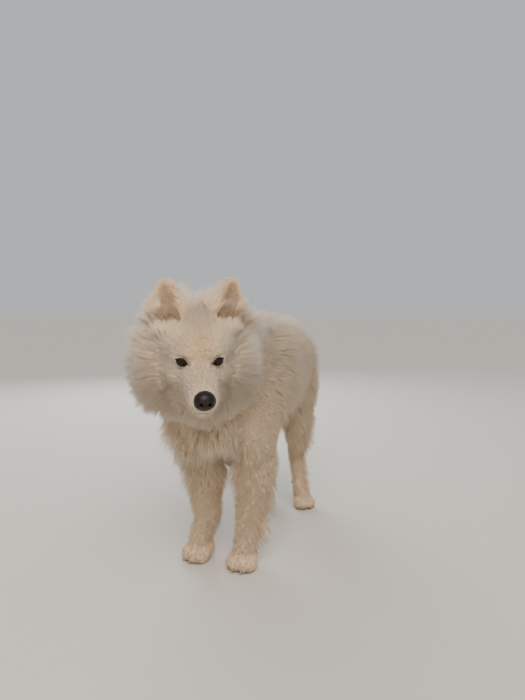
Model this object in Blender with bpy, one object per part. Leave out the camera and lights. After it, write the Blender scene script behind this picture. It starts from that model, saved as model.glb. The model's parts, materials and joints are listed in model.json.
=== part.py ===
"""A samoyed, standing still with its head low and turned to its left, at life size.

The dog faces -Y, its left side is +X and the floor is z = 0. Lengths are in metres.
The flesh and the under half of the coat are lofts and ellipsoids, fused and smoothed into one
body, which plane cuts part into head, ears, neck, torso, legs and paws. Flat, tapered locks of
hair grow from each part along the lie of the coat, out to the tips of the real coat.
"""

import math
import random

import bmesh
import bpy
from mathutils import Matrix, Vector
from mathutils.bvhtree import BVHTree

# How far apart two nodes that touch are kept.
GAP = 0.0003
# How deep a lock's root is sunk.
SINK = 0.008
LEFT, RIGHT = 1, -1
SIDES = {"left": LEFT, "right": RIGHT}

# The head's place is the point midway between the eyes. It is turned to the dog's left and nods.
EYES_MIDDLE = Vector((0.0625, -0.4425, 0.5435))
HEAD_TURN = math.radians(38)
HEAD_NOD = math.radians(17)
HEAD = (
    Matrix.Translation(EYES_MIDDLE)
    @ Matrix.Rotation(HEAD_TURN, 4, "Z")
    @ Matrix.Rotation(HEAD_NOD, 4, "X")
)

# Stations of the torso, from the breast to the rump: y, middle z, half width, half height.
TORSO = (
    (-0.326, 0.420, 0.030, 0.040),
    (-0.305, 0.422, 0.075, 0.100),
    (-0.235, 0.448, 0.120, 0.150),
    (-0.110, 0.464, 0.127, 0.152),
    (0.020, 0.480, 0.115, 0.133),
    (0.120, 0.489, 0.101, 0.116),
    (0.205, 0.484, 0.091, 0.104),
    (0.262, 0.474, 0.068, 0.082),
    (0.290, 0.468, 0.035, 0.045),
)
# Where each foot stands, and how many degrees it turns out.
FRONT_FEET = {LEFT: (0.056, -0.222, 2), RIGHT: (-0.070, -0.224, -18)}
HIND_FEET = {LEFT: (0.058, 0.226, 42), RIGHT: (-0.072, 0.172, -8)}
HOCKS = {LEFT: (0.022, 0.258), RIGHT: (-0.066, 0.216)}
FRONT, HIND = 1.0, 0.92
TOES = ((-0.028, 0.014), (-0.0115, 0.026), (0.0115, 0.026), (0.028, 0.014))

# The tail hangs from the rump, a little off the hocks: its middle and half thickness.
TAIL = (
    ((0, 0.250, 0.510), 0.030),
    ((0, 0.292, 0.498), 0.031),
    ((0, 0.324, 0.455), 0.030),
    ((0, 0.337, 0.390), 0.029),
    ((0, 0.341, 0.320), 0.026),
    ((0, 0.340, 0.262), 0.021),
    ((0, 0.337, 0.220), 0.011),
)
TAIL_CUT = 0.279

# Cuts between parts. A cut is a point and a normal, which points from the body to the part.
LEG_CUT = (Vector((0, -0.120, 0.299)), Vector((0, 0.222, -0.975)).normalized())
NECK_CUT = (Vector((0, -0.160, 0.600)), Vector((0, -0.685, 0.729)).normalized())
WRIST, HOCK, ANKLE = 0.088, 0.190, 0.062
HEAD_BACK, HEAD_BASE = 0.104, -0.112
EAR_CUT = 0.025

# The head's own measures, in its frame: x to its left, y back and z up from between the eyes.
EYE_X, EYE_TURN, EYE_SLANT = 0.0355, 15, 22
EYE_RADIUS = 0.0135
EYE_DEPTH = -0.0015
ALMOND = (0.0124, 0.0084)
LID = 0.0019
NOSE_AT, NOSE_RADII = Vector((0, -0.0895, -0.0495)), (0.0212, 0.0180, 0.0195)
MOUTH = (
    (0.000, -0.093, -0.0765),
    (0.016, -0.088, -0.0775),
    (0.0265, -0.066, -0.0775),
    (0.0320, -0.036, -0.0750),
    (0.0370, -0.012, -0.0680),
    (0.0420, 0.004, -0.0570),
)
# Each ear: how far its root is to the side, how many degrees it leans out, and how high its root is.
EARS = {LEFT: (0.056, 12, 0.069), RIGHT: (0.055, 8, 0.063)}

# Colours as the photograph's dim light leaves them, brought up to plain daylight, and roughnesses.
CREAM = "#E9DFCC"
LOOKS = {
    "nose": ("#2E2422", 0.35),
    "eye": ("#21140D", 0.08),
    "ear": ("#E2D2BB", 0.85),
    "front_paw": ("#E0D0B6", 0.80),
    "hind_paw": ("#E0D0B6", 0.80),
}


def clear_scene():
    for thing in list(bpy.data.objects):
        bpy.data.objects.remove(thing)


def new_object(name, bm):
    mesh = bpy.data.meshes.new(name)
    bm.normal_update()
    bm.to_mesh(mesh)
    bm.free()
    thing = bpy.data.objects.new(name, mesh)
    bpy.context.scene.collection.objects.link(thing)
    return thing


def copy_of(thing, name):
    copy = bpy.data.objects.new(name, thing.data.copy())
    bpy.context.scene.collection.objects.link(copy)
    return copy


def add_ellipsoid(bm, centre, radii, frame=None, turn=None, rings=12):
    """An ellipsoid in a frame, the world's by default, turned in place by a rotation."""
    place = (frame or Matrix.Identity(4)) @ Matrix.Translation(centre)
    shape = (turn or Matrix.Identity(4)) @ Matrix.Diagonal((*radii, 1))
    bmesh.ops.create_uvsphere(bm, u_segments=2 * rings, v_segments=rings, radius=1, matrix=place @ shape)


def curved(stations, steps):
    """The stations with more between them, on a smooth curve through them all."""
    points = [Vector((*centre, half_width, half_depth)) for centre, half_width, half_depth in stations]
    points = [points[0], *points, points[-1]]
    found = []
    for before, start, end, after in zip(points, points[1:], points[2:], points[3:]):
        for step in range(steps):
            t = step / steps
            pull = (end - before) * t + (2 * before - 5 * start + 4 * end - after) * t**2
            found.append(start + 0.5 * (pull + (3 * start - before - 3 * end + after) * t**3))
    found.append(points[-1])
    return [(point[:3], point[3], point[4]) for point in found]


def add_loft(bm, stations, frame=None, steps=4, sides=20):
    """A closed tube of ellipses. A station is a centre, a half width along x and a half depth."""
    frame = frame or Matrix.Identity(4)
    stations = curved(stations, steps)
    centres = [Vector(centre) for centre, _, _ in stations]
    rims = []
    for i, (centre, half_width, half_depth) in enumerate(stations):
        along = (centres[min(i + 1, len(centres) - 1)] - centres[max(i - 1, 0)]).normalized()
        across = (Vector((1, 0, 0)) - along.x * along).normalized()
        deep = along.cross(across)
        axes = Matrix((across * half_width, deep * half_depth, along)).transposed().to_4x4()
        made = bmesh.ops.create_circle(
            bm,
            cap_ends=i in (0, len(stations) - 1),
            segments=sides,
            radius=1,
            matrix=frame @ Matrix.Translation(centre) @ axes,
        )
        rims.append({edge for vert in made["verts"] for edge in vert.link_edges})
    for low, high in zip(rims, rims[1:]):
        bmesh.ops.bridge_loops(bm, edges=list(low | high))
    bmesh.ops.recalc_face_normals(bm, faces=bm.faces)


def applied(thing):
    """Applies the object's modifiers."""
    graph = bpy.context.evaluated_depsgraph_get()
    mesh = bpy.data.meshes.new_from_object(thing.evaluated_get(graph))
    thing.modifiers.clear()
    thing.data = mesh
    return thing


def fused(thing, voxel, smoothing):
    """Overlapping shells made one skin of small even faces, with the creases where they meet smoothed."""
    remesh = thing.modifiers.new("fuse", "REMESH")
    remesh.mode = "VOXEL"
    remesh.voxel_size = voxel
    smooth = thing.modifiers.new("smooth", "SMOOTH")
    smooth.factor = 0.5
    smooth.iterations = smoothing
    return applied(thing)


def thinned(thing, triangles):
    """The same surface in about that many triangles."""
    thing.modifiers.new("triangulate", "TRIANGULATE")
    applied(thing)
    decimate = thing.modifiers.new("decimate", "DECIMATE")
    decimate.ratio = min(1.0, triangles / len(thing.data.polygons))
    return applied(thing)


def joined(thing, operation, others, solver="EXACT"):
    """Adds the others to thing or cuts them from it, in one step, and removes them."""
    group = bpy.data.collections.new("operands")
    bpy.context.scene.collection.children.link(group)
    for other in others:
        bpy.context.scene.collection.objects.unlink(other)
        group.objects.link(other)
    modifier = thing.modifiers.new("boolean", "BOOLEAN")
    modifier.operation = operation
    modifier.solver = solver
    modifier.operand_type = "COLLECTION"
    modifier.collection = group
    applied(thing)
    for other in others:
        bpy.data.objects.remove(other)
    bpy.data.collections.remove(group)
    return thing


def shells_of(bm):
    """The separate closed surfaces of a bmesh, as lists of faces."""
    left, shells = set(bm.faces), []
    while left:
        shell, rim = set(), [left.pop()]
        while rim:
            face = rim.pop()
            shell.add(face)
            near = {other for edge in face.edges for other in edge.link_faces} & left
            left -= near
            rim += near
        shells.append(list(shell))
    return shells


def volume_of(faces):
    """The signed volume inside flat faces."""
    total = 0.0
    for face in faces:
        first, *rest = [vert.co for vert in face.verts]
        total += sum(first.dot(a.cross(b)) for a, b in zip(rest, rest[1:])) / 6
    return total


def largest_shell(thing):
    """Keeps only the largest closed surface."""
    bm = bmesh.new()
    bm.from_mesh(thing.data)
    shells = sorted(shells_of(bm), key=volume_of)
    bmesh.ops.delete(bm, geom=[face for shell in shells[:-1] for face in shell], context="FACES")
    bm.to_mesh(thing.data)
    bm.free()
    return thing


def trimmed(thing, cuts, back=GAP / 2):
    """Keeps what lies behind each cut, a point and a normal, moved back by so much, and closes it."""
    bm = bmesh.new()
    bm.from_mesh(thing.data)
    for point, normal in cuts:
        everything = bm.verts[:] + bm.edges[:] + bm.faces[:]
        cut = bmesh.ops.bisect_plane(
            bm, geom=everything, plane_co=point - back * normal, plane_no=normal, clear_outer=True
        )
        rim = [piece for piece in cut["geom_cut"] if isinstance(piece, bmesh.types.BMEdge)]
        bmesh.ops.triangle_fill(bm, edges=rim, use_beauty=True, normal=normal)
    bmesh.ops.recalc_face_normals(bm, faces=bm.faces)
    bm.to_mesh(thing.data)
    bm.free()
    return thing


def flipped(cut):
    return (cut[0], -cut[1])


def turned(frame, point, normal):
    """A cut given in a frame, in the world's."""
    return (frame @ Vector(point), (frame.to_3x3() @ Vector(normal)).normalized())


def level(z, up):
    return (Vector((0, 0, z)), Vector((0, 0, up)))


def part_of(body, name, cuts, triangles):
    """One part of the body: cut out roughly, thinned, then cut to its true planes."""
    part = trimmed(copy_of(body, name), cuts, back=-0.006)
    return trimmed(thinned(part, triangles), cuts)


def ear_axes(side):
    """The ear's frame: z from its root to its tip, and -y the way that its cup faces."""
    root, lean, rise = EARS[side]
    return (
        HEAD
        @ Matrix.Translation((side * root, 0.058, rise))
        @ Matrix.Rotation(math.radians(side * 22), 4, "Z")
        @ Matrix.Rotation(math.radians(side * lean), 4, "Y")
        @ Matrix.Rotation(math.radians(-3), 4, "X")
    )


def hip_of(side):
    """How far back the thigh starts."""
    return 0.185 + 0.25 * (HOCKS[side][1] - HOCKS[LEFT][1])


def make_large_forms():
    bm = bmesh.new()
    add_loft(bm, [((0, y, z), wide, high) for y, z, wide, high in TORSO])
    add_loft(
        bm,
        [
            ((0, -0.130, 0.470), 0.105, 0.120),
            ((0, -0.200, 0.486), 0.116, 0.142),
            ((0.002, -0.285, 0.520), 0.110, 0.128),
            (HEAD @ Vector((0, 0.105, -0.030)), 0.112, 0.108),
            (HEAD @ Vector((0, 0.050, -0.010)), 0.080, 0.086),
        ],
    )
    add_ellipsoid(bm, (0, 0.056, 0.014), (0.082, 0.078, 0.073), HEAD)
    add_ellipsoid(bm, (0, 0.046, -0.074), (0.064, 0.055, 0.044), HEAD)
    add_ellipsoid(bm, (0, 0.092, -0.085), (0.108, 0.072, 0.070), HEAD)
    for side in SIDES.values():
        add_ellipsoid(bm, (side * 0.052, 0.078, -0.035), (0.073, 0.062, 0.078), HEAD)
        add_ellipsoid(bm, (side * 0.034, 0.028, -0.036), (0.038, 0.042, 0.036), HEAD)
        add_ellipsoid(bm, (side * 0.082, -0.196, 0.385), (0.064, 0.090, 0.118))
        add_ellipsoid(bm, (side * 0.058, hip_of(side), 0.415), (0.052, 0.088, 0.115))
    return fused(new_object("large_forms", bm), 0.005, 16)


def add_muzzle(bm):
    upper = (
        (0.040, -0.024, 0.052, 0.052),
        (0.005, -0.038, 0.047, 0.046),
        (-0.030, -0.049, 0.0400, 0.0375),
        (-0.060, -0.055, 0.0360, 0.0315),
        (-0.082, -0.0575, 0.0325, 0.0280),
        (-0.096, -0.0605, 0.0250, 0.0210),
    )
    jaw = (
        (0.040, -0.086, 0.048, 0.026),
        (0.000, -0.087, 0.038, 0.021),
        (-0.040, -0.085, 0.0275, 0.0175),
        (-0.068, -0.083, 0.022, 0.0155),
        (-0.084, -0.081, 0.014, 0.0110),
    )
    for stations in (upper, jaw):
        add_loft(bm, [((0, y, z), wide, high) for y, z, wide, high in stations], HEAD)
    add_ellipsoid(bm, (0, 0.024, 0.006), (0.055, 0.043, 0.040), HEAD)
    for side in SIDES.values():
        add_ellipsoid(bm, (side * 0.026, -0.002, 0.018), (0.020, 0.018, 0.013), HEAD)


def add_ear(bm, side):
    stations = (
        (-0.030, 0.050, 0.036),
        (0.000, 0.048, 0.029),
        (0.030, 0.0405, 0.0215),
        (0.056, 0.0315, 0.0160),
        (0.074, 0.0235, 0.0120),
        (0.086, 0.0155, 0.0090),
        (0.093, 0.0075, 0.0055),
    )
    add_loft(bm, [((0, 0, z), wide, deep) for z, wide, deep in stations], ear_axes(side))


def add_front_leg(bm, side):
    x, y, _ = FRONT_FEET[side]
    add_loft(
        bm,
        [
            ((side * 0.076, -0.190, 0.400), 0.040, 0.060),
            ((side * 0.074, -0.186, 0.345), 0.044, 0.062),
            ((side * 0.077, -0.186, 0.295), 0.052, 0.058),
            ((side * 0.074, -0.190, 0.235), 0.048, 0.051),
            ((side * 0.067, -0.197, 0.170), 0.040, 0.042),
            ((side * 0.060, -0.203, 0.110), 0.031, 0.033),
            ((x, y + 0.012, 0.065), 0.0275, 0.030),
            ((x, y + 0.004, 0.030), 0.029, 0.034),
        ],
    )


def add_hind_leg(bm, side):
    x, y, _ = HIND_FEET[side]
    hock_x, hock_y = HOCKS[side]
    hip = hip_of(side)
    thigh = side * 0.058
    add_loft(
        bm,
        [
            ((thigh, hip, 0.440), 0.040, 0.070),
            ((thigh, hip - 0.005, 0.380), 0.044, 0.080),
            ((thigh, 0.7 * hip + 0.3 * hock_y - 0.030, 0.320), 0.042, 0.067),
            ((0.7 * thigh + 0.3 * hock_x, 0.5 * (hip + hock_y) - 0.024, 0.265), 0.037, 0.054),
            ((0.4 * thigh + 0.6 * hock_x, 0.25 * hip + 0.75 * hock_y - 0.006, 0.213), 0.031, 0.042),
            ((hock_x, hock_y, 0.165), 0.026, 0.032),
            ((0.7 * hock_x + 0.3 * x, hock_y - 0.008, 0.110), 0.0235, 0.027),
            ((0.35 * hock_x + 0.65 * x, 0.4 * hock_y + 0.6 * y, 0.055), 0.025, 0.029),
            ((x, y + 0.004, 0.028), 0.026, 0.030),
        ],
    )


def paw_frame(foot, size):
    x, y, turn = foot
    place = Matrix.Translation((x, y, 0)) @ Matrix.Rotation(math.radians(turn), 4, "Z")
    return place @ Matrix.Scale(size, 4)


def add_paw(bm, frame):
    """Four toes in an arc before a low pad."""
    add_ellipsoid(bm, (0, 0.004, 0.027), (0.034, 0.040, 0.030), frame)
    for across, ahead in TOES:
        add_ellipsoid(bm, (across, -ahead, 0.019), (0.0130, 0.023, 0.0210), frame)


def make_body():
    large = make_large_forms()
    bm = bmesh.new()
    bm.from_mesh(large.data)
    bpy.data.objects.remove(large)
    add_muzzle(bm)
    for side in SIDES.values():
        add_ear(bm, side)
        add_front_leg(bm, side)
        add_hind_leg(bm, side)
        add_paw(bm, paw_frame(FRONT_FEET[side], FRONT))
        add_paw(bm, paw_frame(HIND_FEET[side], HIND))
    return thinned(fused(new_object("body", bm), 0.0033, 8), 60000)


def cut_apart(body):
    """The body's parts, each with a flat face where it meets the next."""
    ear_cuts = {side: turned(ear_axes(side), (0, 0, EAR_CUT), (0, 0, 1)) for side in SIDES.values()}
    head_cuts = [
        flipped(NECK_CUT),
        turned(HEAD, (0, HEAD_BACK, 0), (0, 1, 0)),
        turned(HEAD, (0, 0, HEAD_BASE), (0, 0, -1)),
    ]
    tail_cut = (Vector((0, TAIL_CUT, 0)), Vector((0, 1, 0)))
    parts = {
        "head": part_of(body, "head", [*head_cuts, *ear_cuts.values()], 1350),
        "neck": part_of(body, "neck", [flipped(NECK_CUT)], 560),
        "torso": part_of(body, "torso", [NECK_CUT, LEG_CUT, tail_cut], 720),
    }
    bm = bmesh.new()
    low, high = Vector((-0.3, -0.4, HEAD_BASE - GAP / 2)), Vector((0.3, HEAD_BACK + GAP / 2, 0.4))
    room = Matrix.Translation((low + high) / 2) @ Matrix.Diagonal((*(high - low), 1))
    bmesh.ops.create_cube(bm, size=1, matrix=HEAD @ room)
    largest_shell(joined(parts["neck"], "DIFFERENCE", [new_object("room_for_head", bm)]))
    for name, side in SIDES.items():
        halves = {"front": (Vector((0, 0, 0)), Vector((0, 1, 0))), "hind": (Vector((0, 0, 0)), Vector((0, -1, 0)))}
        ear = [flipped(ear_cuts[side]), turned(HEAD, (0, 0, 0), (-side, 0, 0))]
        parts[f"ear_{name}"] = part_of(body, f"ear_{name}", ear, 170)
        for kind, top, bottom, inside, triangles in (
            ("front_leg", flipped(LEG_CUT), WRIST, 0, 200),
            ("front_paw", level(WRIST, 1), 0, 0, 250),
            ("hind_thigh", flipped(LEG_CUT), HOCK, -0.004, 200),
            ("hind_shank", level(HOCK, 1), ANKLE, -0.020, 130),
            ("hind_paw", level(ANKLE, 1), 0, -0.020, 230),
        ):
            middle = (Vector((inside, 0, 0)), Vector((-side, 0, 0)))
            node, half = f"{kind}_{name}", halves[kind.split("_")[0]]
            parts[node] = part_of(body, node, [top, level(bottom, -1), middle, half], triangles)
    return parts


def eye_axes(side):
    """The eye's frame: its middle, with -y the way that it looks and its outer corner up."""
    return (
        HEAD
        @ Matrix.Translation((side * EYE_X, EYE_DEPTH, 0))
        @ Matrix.Rotation(math.radians(side * EYE_TURN), 4, "Z")
        @ Matrix.Rotation(math.radians(-side * EYE_SLANT), 4, "Y")
    )


def almond(half_width, half_height, steps=5):
    """The outline of the eye between the lids, as (x, z), anticlockwise from one corner."""
    across = [math.cos(math.pi * step / steps) for step in range(steps)]
    lower = [(half_width * x, -0.8 * half_height * (1 - x * x)) for x in across]
    return lower + [(-x, -1.25 * z) for x, z in lower]


def add_prism(bm, outline, front, back, frame):
    """A closed prism along y on an outline in x and z."""
    rims = [[bm.verts.new(frame @ Vector((x, y, z))) for x, z in outline] for y in (front, back)]
    for rim in rims:
        bm.faces.new(rim)
    for i in range(len(outline)):
        bm.faces.new((rims[0][i - 1], rims[0][i], rims[1][i], rims[1][i - 1]))
    bmesh.ops.recalc_face_normals(bm, faces=bm.faces)


def add_tube(bm, middles, radii, frame, closed=True):
    """A five-sided tube round a loop of points, or from the first to the last."""
    count = len(middles)
    rings = []
    for i, middle in enumerate(middles):
        before, after = (i - 1, (i + 1) % count) if closed else (max(i - 1, 0), min(i + 1, count - 1))
        along = (middles[after] - middles[before]).normalized()
        out = Vector((0, -1, 0))
        out = (out - out.dot(along) * along).normalized()
        side = along.cross(out)
        angles = [2 * math.pi * k / 5 for k in range(5)]
        ring = [middle + radii[i] * (math.cos(a) * out + math.sin(a) * side) for a in angles]
        rings.append([bm.verts.new(frame @ point) for point in ring])
    for i in range(0 if closed else 1, count):
        for k in range(5):
            bm.faces.new((rings[i - 1][k - 1], rings[i - 1][k], rings[i][k], rings[i][k - 1]))
    if not closed:
        bm.faces.new(rings[0])
        bm.faces.new(rings[-1])
    bmesh.ops.recalc_face_normals(bm, faces=bm.faces)


def make_eye(head, name, side):
    """Lids raised on the head round an almond pocket, and the eyeball's front that fills it."""
    frame = eye_axes(side)
    wide, high = ALMOND
    bm = bmesh.new()
    on_ball = [
        Vector((x, -math.sqrt(max(EYE_RADIUS**2 - x * x - z * z, 0)), z))
        for x, z in almond(wide + LID, high + LID)
    ]
    add_tube(bm, on_ball, [LID] * len(on_ball), frame)
    joined(head, "UNION", [new_object("lids", bm)])
    bm = bmesh.new()
    add_prism(bm, almond(wide + GAP, high + GAP), -0.03, GAP, frame)
    joined(head, "DIFFERENCE", [new_object("pocket", bm)])
    bm = bmesh.new()
    add_ellipsoid(bm, (0, 0, 0), [EYE_RADIUS] * 3, frame, Matrix.Rotation(math.pi / 2, 4, "X"), rings=10)
    eye = new_object(f"eye_{name}", bm)
    bm = bmesh.new()
    add_prism(bm, almond(wide, high), -0.03, 0, frame)
    return joined(eye, "INTERSECT", [new_object("opening", bm)])


def make_nose(head):
    """The nose leather, sunk in the end of the muzzle, with its nostrils and the groove below them."""
    pieces = {}
    for name, more in (("nose", 0), ("room_for_nose", GAP)):
        bm = bmesh.new()
        add_ellipsoid(bm, NOSE_AT, [radius + more for radius in NOSE_RADII], HEAD, rings=7)
        pieces[name] = new_object(name, bm)
    joined(head, "DIFFERENCE", [pieces["room_for_nose"]])
    cutters = []
    for side in SIDES.values():
        tilt = Matrix.Rotation(math.radians(side * 25), 4, "Y")
        for across, ahead, up, radii in (
            (0.0085, 0.0160, -0.0005, (0.0036, 0.0060, 0.0031)),
            (0.0138, 0.0122, -0.0040, (0.0058, 0.0050, 0.0014)),
        ):
            bm = bmesh.new()
            add_ellipsoid(bm, NOSE_AT + Vector((side * across, -ahead, up)), radii, HEAD, tilt, rings=4)
            cutters.append(new_object("nostril", bm))
    bm = bmesh.new()
    outline = [(-0.0006, -0.03), (0.0006, -0.03), (0.0006, -0.0045), (-0.0006, -0.0045)]
    add_prism(bm, outline, -0.03, -0.0135, HEAD @ Matrix.Translation(NOSE_AT))
    return joined(pieces["nose"], "DIFFERENCE", [*cutters, new_object("groove", bm)])


def cut_mouth(head):
    """Lips round the end of the muzzle, with the line of the closed mouth between them."""
    tree = tree_of(head)
    back = HEAD.inverted()
    places = [Vector((-x, y, z)) for x, y, z in reversed(MOUTH[1:])] + [Vector(place) for place in MOUTH]
    line = []
    for place in places:
        inside = Vector((0.3 * place.x, 0.6 * place.y + 0.01, place.z))
        out = HEAD.to_3x3() @ (place - inside).normalized()
        line.append(back @ tree.ray_cast(HEAD @ inside, out)[0])
    last = len(line) - 1
    inwards = [(Vector((0, 0.03, -0.065)) - place).normalized() for place in line]
    for up, radius, deep, operation in (
        (0.0028, 0.0034, 0.0014, "UNION"),
        (-0.0026, 0.0030, 0.0014, "UNION"),
        (0, 0.0014, 0, "DIFFERENCE"),
    ):
        swell = [math.sin(math.pi * (0.12 + 0.76 * i / last)) ** 0.5 for i in range(last + 1)]
        middles = [
            place + Vector((0, 0, up * big)) + (deep + (1 - big) * radius) * inward
            for place, inward, big in zip(line, inwards, swell)
        ]
        bm = bmesh.new()
        add_tube(bm, middles, [radius * big for big in swell], HEAD, closed=False)
        joined(head, operation, [new_object("lip", bm)])


def cut_cup(ear, side):
    """The hollow of the ear, open in front."""
    stations = (
        (EAR_CUT - 0.006, 0.0250, 0.017),
        (0.040, 0.0235, 0.0150),
        (0.058, 0.0175, 0.0115),
        (0.073, 0.0100, 0.0075),
        (0.082, 0.0035, 0.0040),
    )
    bm = bmesh.new()
    add_loft(bm, [((0, -0.0175 + 0.1 * z, z), wide, deep) for z, wide, deep in stations], ear_axes(side), 1, 12)
    joined(ear, "DIFFERENCE", [new_object("cup", bm)])


def add_claws(paw, foot, size):
    claws = []
    for across, ahead in TOES:
        bm = bmesh.new()
        tip, root = Vector((1.05 * across, -ahead - 0.0265, 0.0045)), Vector((across, -ahead - 0.012, 0.0150))
        turn = (tip - root).to_track_quat("Z", "Y").to_matrix().to_4x4()
        place = paw_frame(foot, size) @ Matrix.Translation((tip + root) / 2) @ turn
        bmesh.ops.create_cone(
            bm, cap_ends=True, segments=4, radius1=0.0040, radius2=0.0012, depth=(tip - root).length, matrix=place
        )
        claws.append(new_object("claw", bm))
    joined(paw, "UNION", claws)


def make_tail():
    bm = bmesh.new()
    add_loft(bm, [(middle, thick, thick) for middle, thick in TAIL], steps=2, sides=10)
    tail = new_object("tail", bm)
    return trimmed(tail, [(Vector((0, TAIL_CUT, 0)), Vector((0, -1, 0)))])


def tree_of(*things):
    """A search tree of the things' surfaces."""
    verts, faces = [], []
    for thing in things:
        start = len(verts)
        verts += [vert.co.copy() for vert in thing.data.vertices]
        faces += [[start + i for i in face.vertices] for face in thing.data.polygons]
    return BVHTree.FromPolygons(verts, faces)


def lock(root, lie, out, length, width, lift, sway, margin=0):
    """A flat, tapered lock that leaves the skin at an angle and bends down along the coat's lie."""
    side = lie.cross(out).normalized()
    place, rings = root - SINK * out, []
    for step, (wide, deep) in enumerate(((1, 0.30), (0.96, 0.32), (0.62, 0.24), (0, 0))):
        angle = lift * (1 - 0.36 * step)
        along = (math.cos(angle) * lie + math.sin(angle) * out + sway * (step - 0.5) * side).normalized()
        up = side.cross(along)
        across, high = side * (width * wide + margin), up * (width * deep + margin)
        rings.append([place + across, place + high, place - across, place - high])
        place = place + along * ((length + SINK) / 3 + margin * (step == 2))
    bm = bmesh.new()
    rims = [[bm.verts.new(point) for point in ring] for ring in rings[:3]]
    tip = bm.verts.new(sum(rings[3], Vector()) / 4)
    bm.faces.new(rims[0])
    for low, high in zip(rims, rims[1:]):
        for i in range(4):
            bm.faces.new((low[i - 1], low[i], high[i], high[i - 1]))
    for i in range(4):
        bm.faces.new((rims[2][i - 1], rims[2][i], tip))
    bmesh.ops.recalc_face_normals(bm, faces=bm.faces)
    return bm


def fan(middle, axis, zero, start, end, count):
    """Rays from a point, evenly round an axis, as (origin, direction), from one angle to another."""
    for step in range(count):
        angle = start + (end - start) * step / max(count - 1, 1)
        yield middle, Matrix.Rotation(math.radians(angle), 3, axis) @ zero


def grow(part, others, rows, seed):
    """Covers a part with locks: rows of rays onto its surface, each with a lie and a lock's size."""
    rng = random.Random(seed)
    surface, rest = tree_of(part), tree_of(*others)
    locks = []
    for rays, lie_at, length, width, lift in rows:
        for origin, direction in rays:
            root, out, _, _ = surface.ray_cast(origin, direction)
            if root is None or out.dot(direction) < 0.35:
                continue
            lie = lie_at(root, out)
            lie = (lie - lie.dot(out) * out).normalized()
            size, sway = rng.uniform(0.88, 1.15), rng.uniform(-0.16, 0.16)
            for more in (0, 8, 16, 26, 38):
                shape = (root, lie, out, length * size, width * size, math.radians(lift + more), sway)
                bm = lock(*shape, margin=0.0005)
                clear = not BVHTree.FromBMesh(bm).overlap(rest)
                bm.free()
                if clear:
                    locks.append(new_object("lock", lock(*shape)))
                    break
    joined(part, "UNION", locks)
    return largest_shell(part)


def back_and_down(back, down):
    """A lie that runs back along the dog and, on its flanks, down."""
    return lambda root, out: Vector((0, back, -down * (1 - abs(out.z) * (out.z > 0))))


def torso_rows():
    up, along = Vector((0, 0, 1)), Vector((0, 1, 0))
    for i, (y, z, length) in enumerate((
        (-0.205, 0.440, 0.094),
        (-0.130, 0.450, 0.096),
        (-0.055, 0.460, 0.094),
        (0.020, 0.470, 0.090),
        (0.095, 0.480, 0.084),
        (0.165, 0.482, 0.076),
        (0.230, 0.480, 0.062),
    )):
        middle, turn = Vector((0, y, z)), 11 * (i % 2)
        back = list(fan(middle, along, up, turn - 50, turn + 39, 4))
        flanks = [ray for s in SIDES.values() for ray in fan(middle, along, up, s * (78 + turn), s * (150 + turn), 3)]
        yield back, back_and_down(1, 0.6), length, 0.023, 40 - 2.5 * i
        yield flanks, back_and_down(1, 0.75), length, 0.024, 30 - 2.5 * i
    for z, length in ((0.475, 0.076), (0.405, 0.082), (0.340, 0.084)):
        rays = list(fan(Vector((0, -0.210, z)), up, -along, -52, 52, 4))
        yield rays, lambda root, out: Vector((1.5 * root.x, 0.1, -1)), length, 0.024, 30
    for side in SIDES.values():
        for z, length in ((0.425, 0.090), (0.365, 0.094)):
            rays = list(fan(Vector((side * 0.05, -0.190, z)), up, Vector((side, 0, 0)), -56, 44, 3))
            yield rays, lambda root, out: Vector((root.x, 0.15, -1)), length, 0.026, 42
    rays = [(Vector((x, -0.230, 0.40)), -up) for x in (-0.024, 0.020)]
    yield rays, lambda root, out: Vector((0, -1, -0.2)), 0.088, 0.024, 96


def neck_rows():
    start, end = HEAD @ Vector((0, 0.108, -0.022)), Vector((0, -0.200, 0.520))
    axis = (end - start).normalized()
    up = (Vector((0, 0, 1)) - axis.z * axis).normalized()
    for part, count, length, lift in ((0.12, 13, 0.096, 56), (0.60, 10, 0.090, 40)):
        rays = list(fan(start.lerp(end, part), axis, up, -170, 160, count))
        yield rays, lambda root, out: axis + Vector((0, 0, -0.45)), length, 0.022, lift
    throat = list(fan(Vector((0.006, -0.265, 0.478)), Vector((0, 0, 1)), Vector((0, -1, 0)), -66, 66, 5))
    yield throat, lambda root, out: Vector((0.4 * root.x, 0, -1)), 0.076, 0.021, 34


def head_rows():
    middle, back = HEAD @ Vector((0, 0.066, -0.012)), (HEAD.to_3x3() @ Vector((0, 1, 0))).normalized()
    up = (HEAD.to_3x3() @ Vector((0, 0, 1))).normalized()
    cheeks = [(middle, direction) for _, direction in fan(middle, back, up, 58, 302, 13)]
    yield cheeks, lambda root, out: back + Vector((0, 0, -0.35)), 0.076, 0.0185, 54
    crown = [(middle, direction) for _, direction in fan(middle, back, up, -14, 14, 2)]
    yield crown, lambda root, out: back, 0.050, 0.018, 40


def tail_rows():
    for i, (length, width) in enumerate(((0.070, 0.018), (0.072, 0.018), (0.066, 0.017), (0.058, 0.014)), 1):
        middle, after = Vector(TAIL[i][0]), Vector(TAIL[i + 1][0])
        axis = (after - middle).normalized()
        zero = (Vector((0, 1, 0)) - axis.y * axis).normalized()
        rays = list(fan(middle.lerp(after, 0.5), axis, zero, -135 + 45 * (i % 2), 135 + 45 * (i % 2), 4))
        yield rays, lambda root, out, axis=axis: axis, length, width, 30


def thigh_rows(side):
    for z, y, length in ((0.345, 0.165, 0.080), (0.295, 0.185, 0.074), (0.245, 0.215, 0.058)):
        middle = Vector((side * 0.056, y + hip_of(side) - 0.185, z))
        rays = list(fan(middle, Vector((0, 0, -side)), Vector((0, 1, 0)), -35, 105, 4))
        yield rays, lambda root, out: Vector((0, 0.45, -1)), length, 0.019, 26


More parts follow.
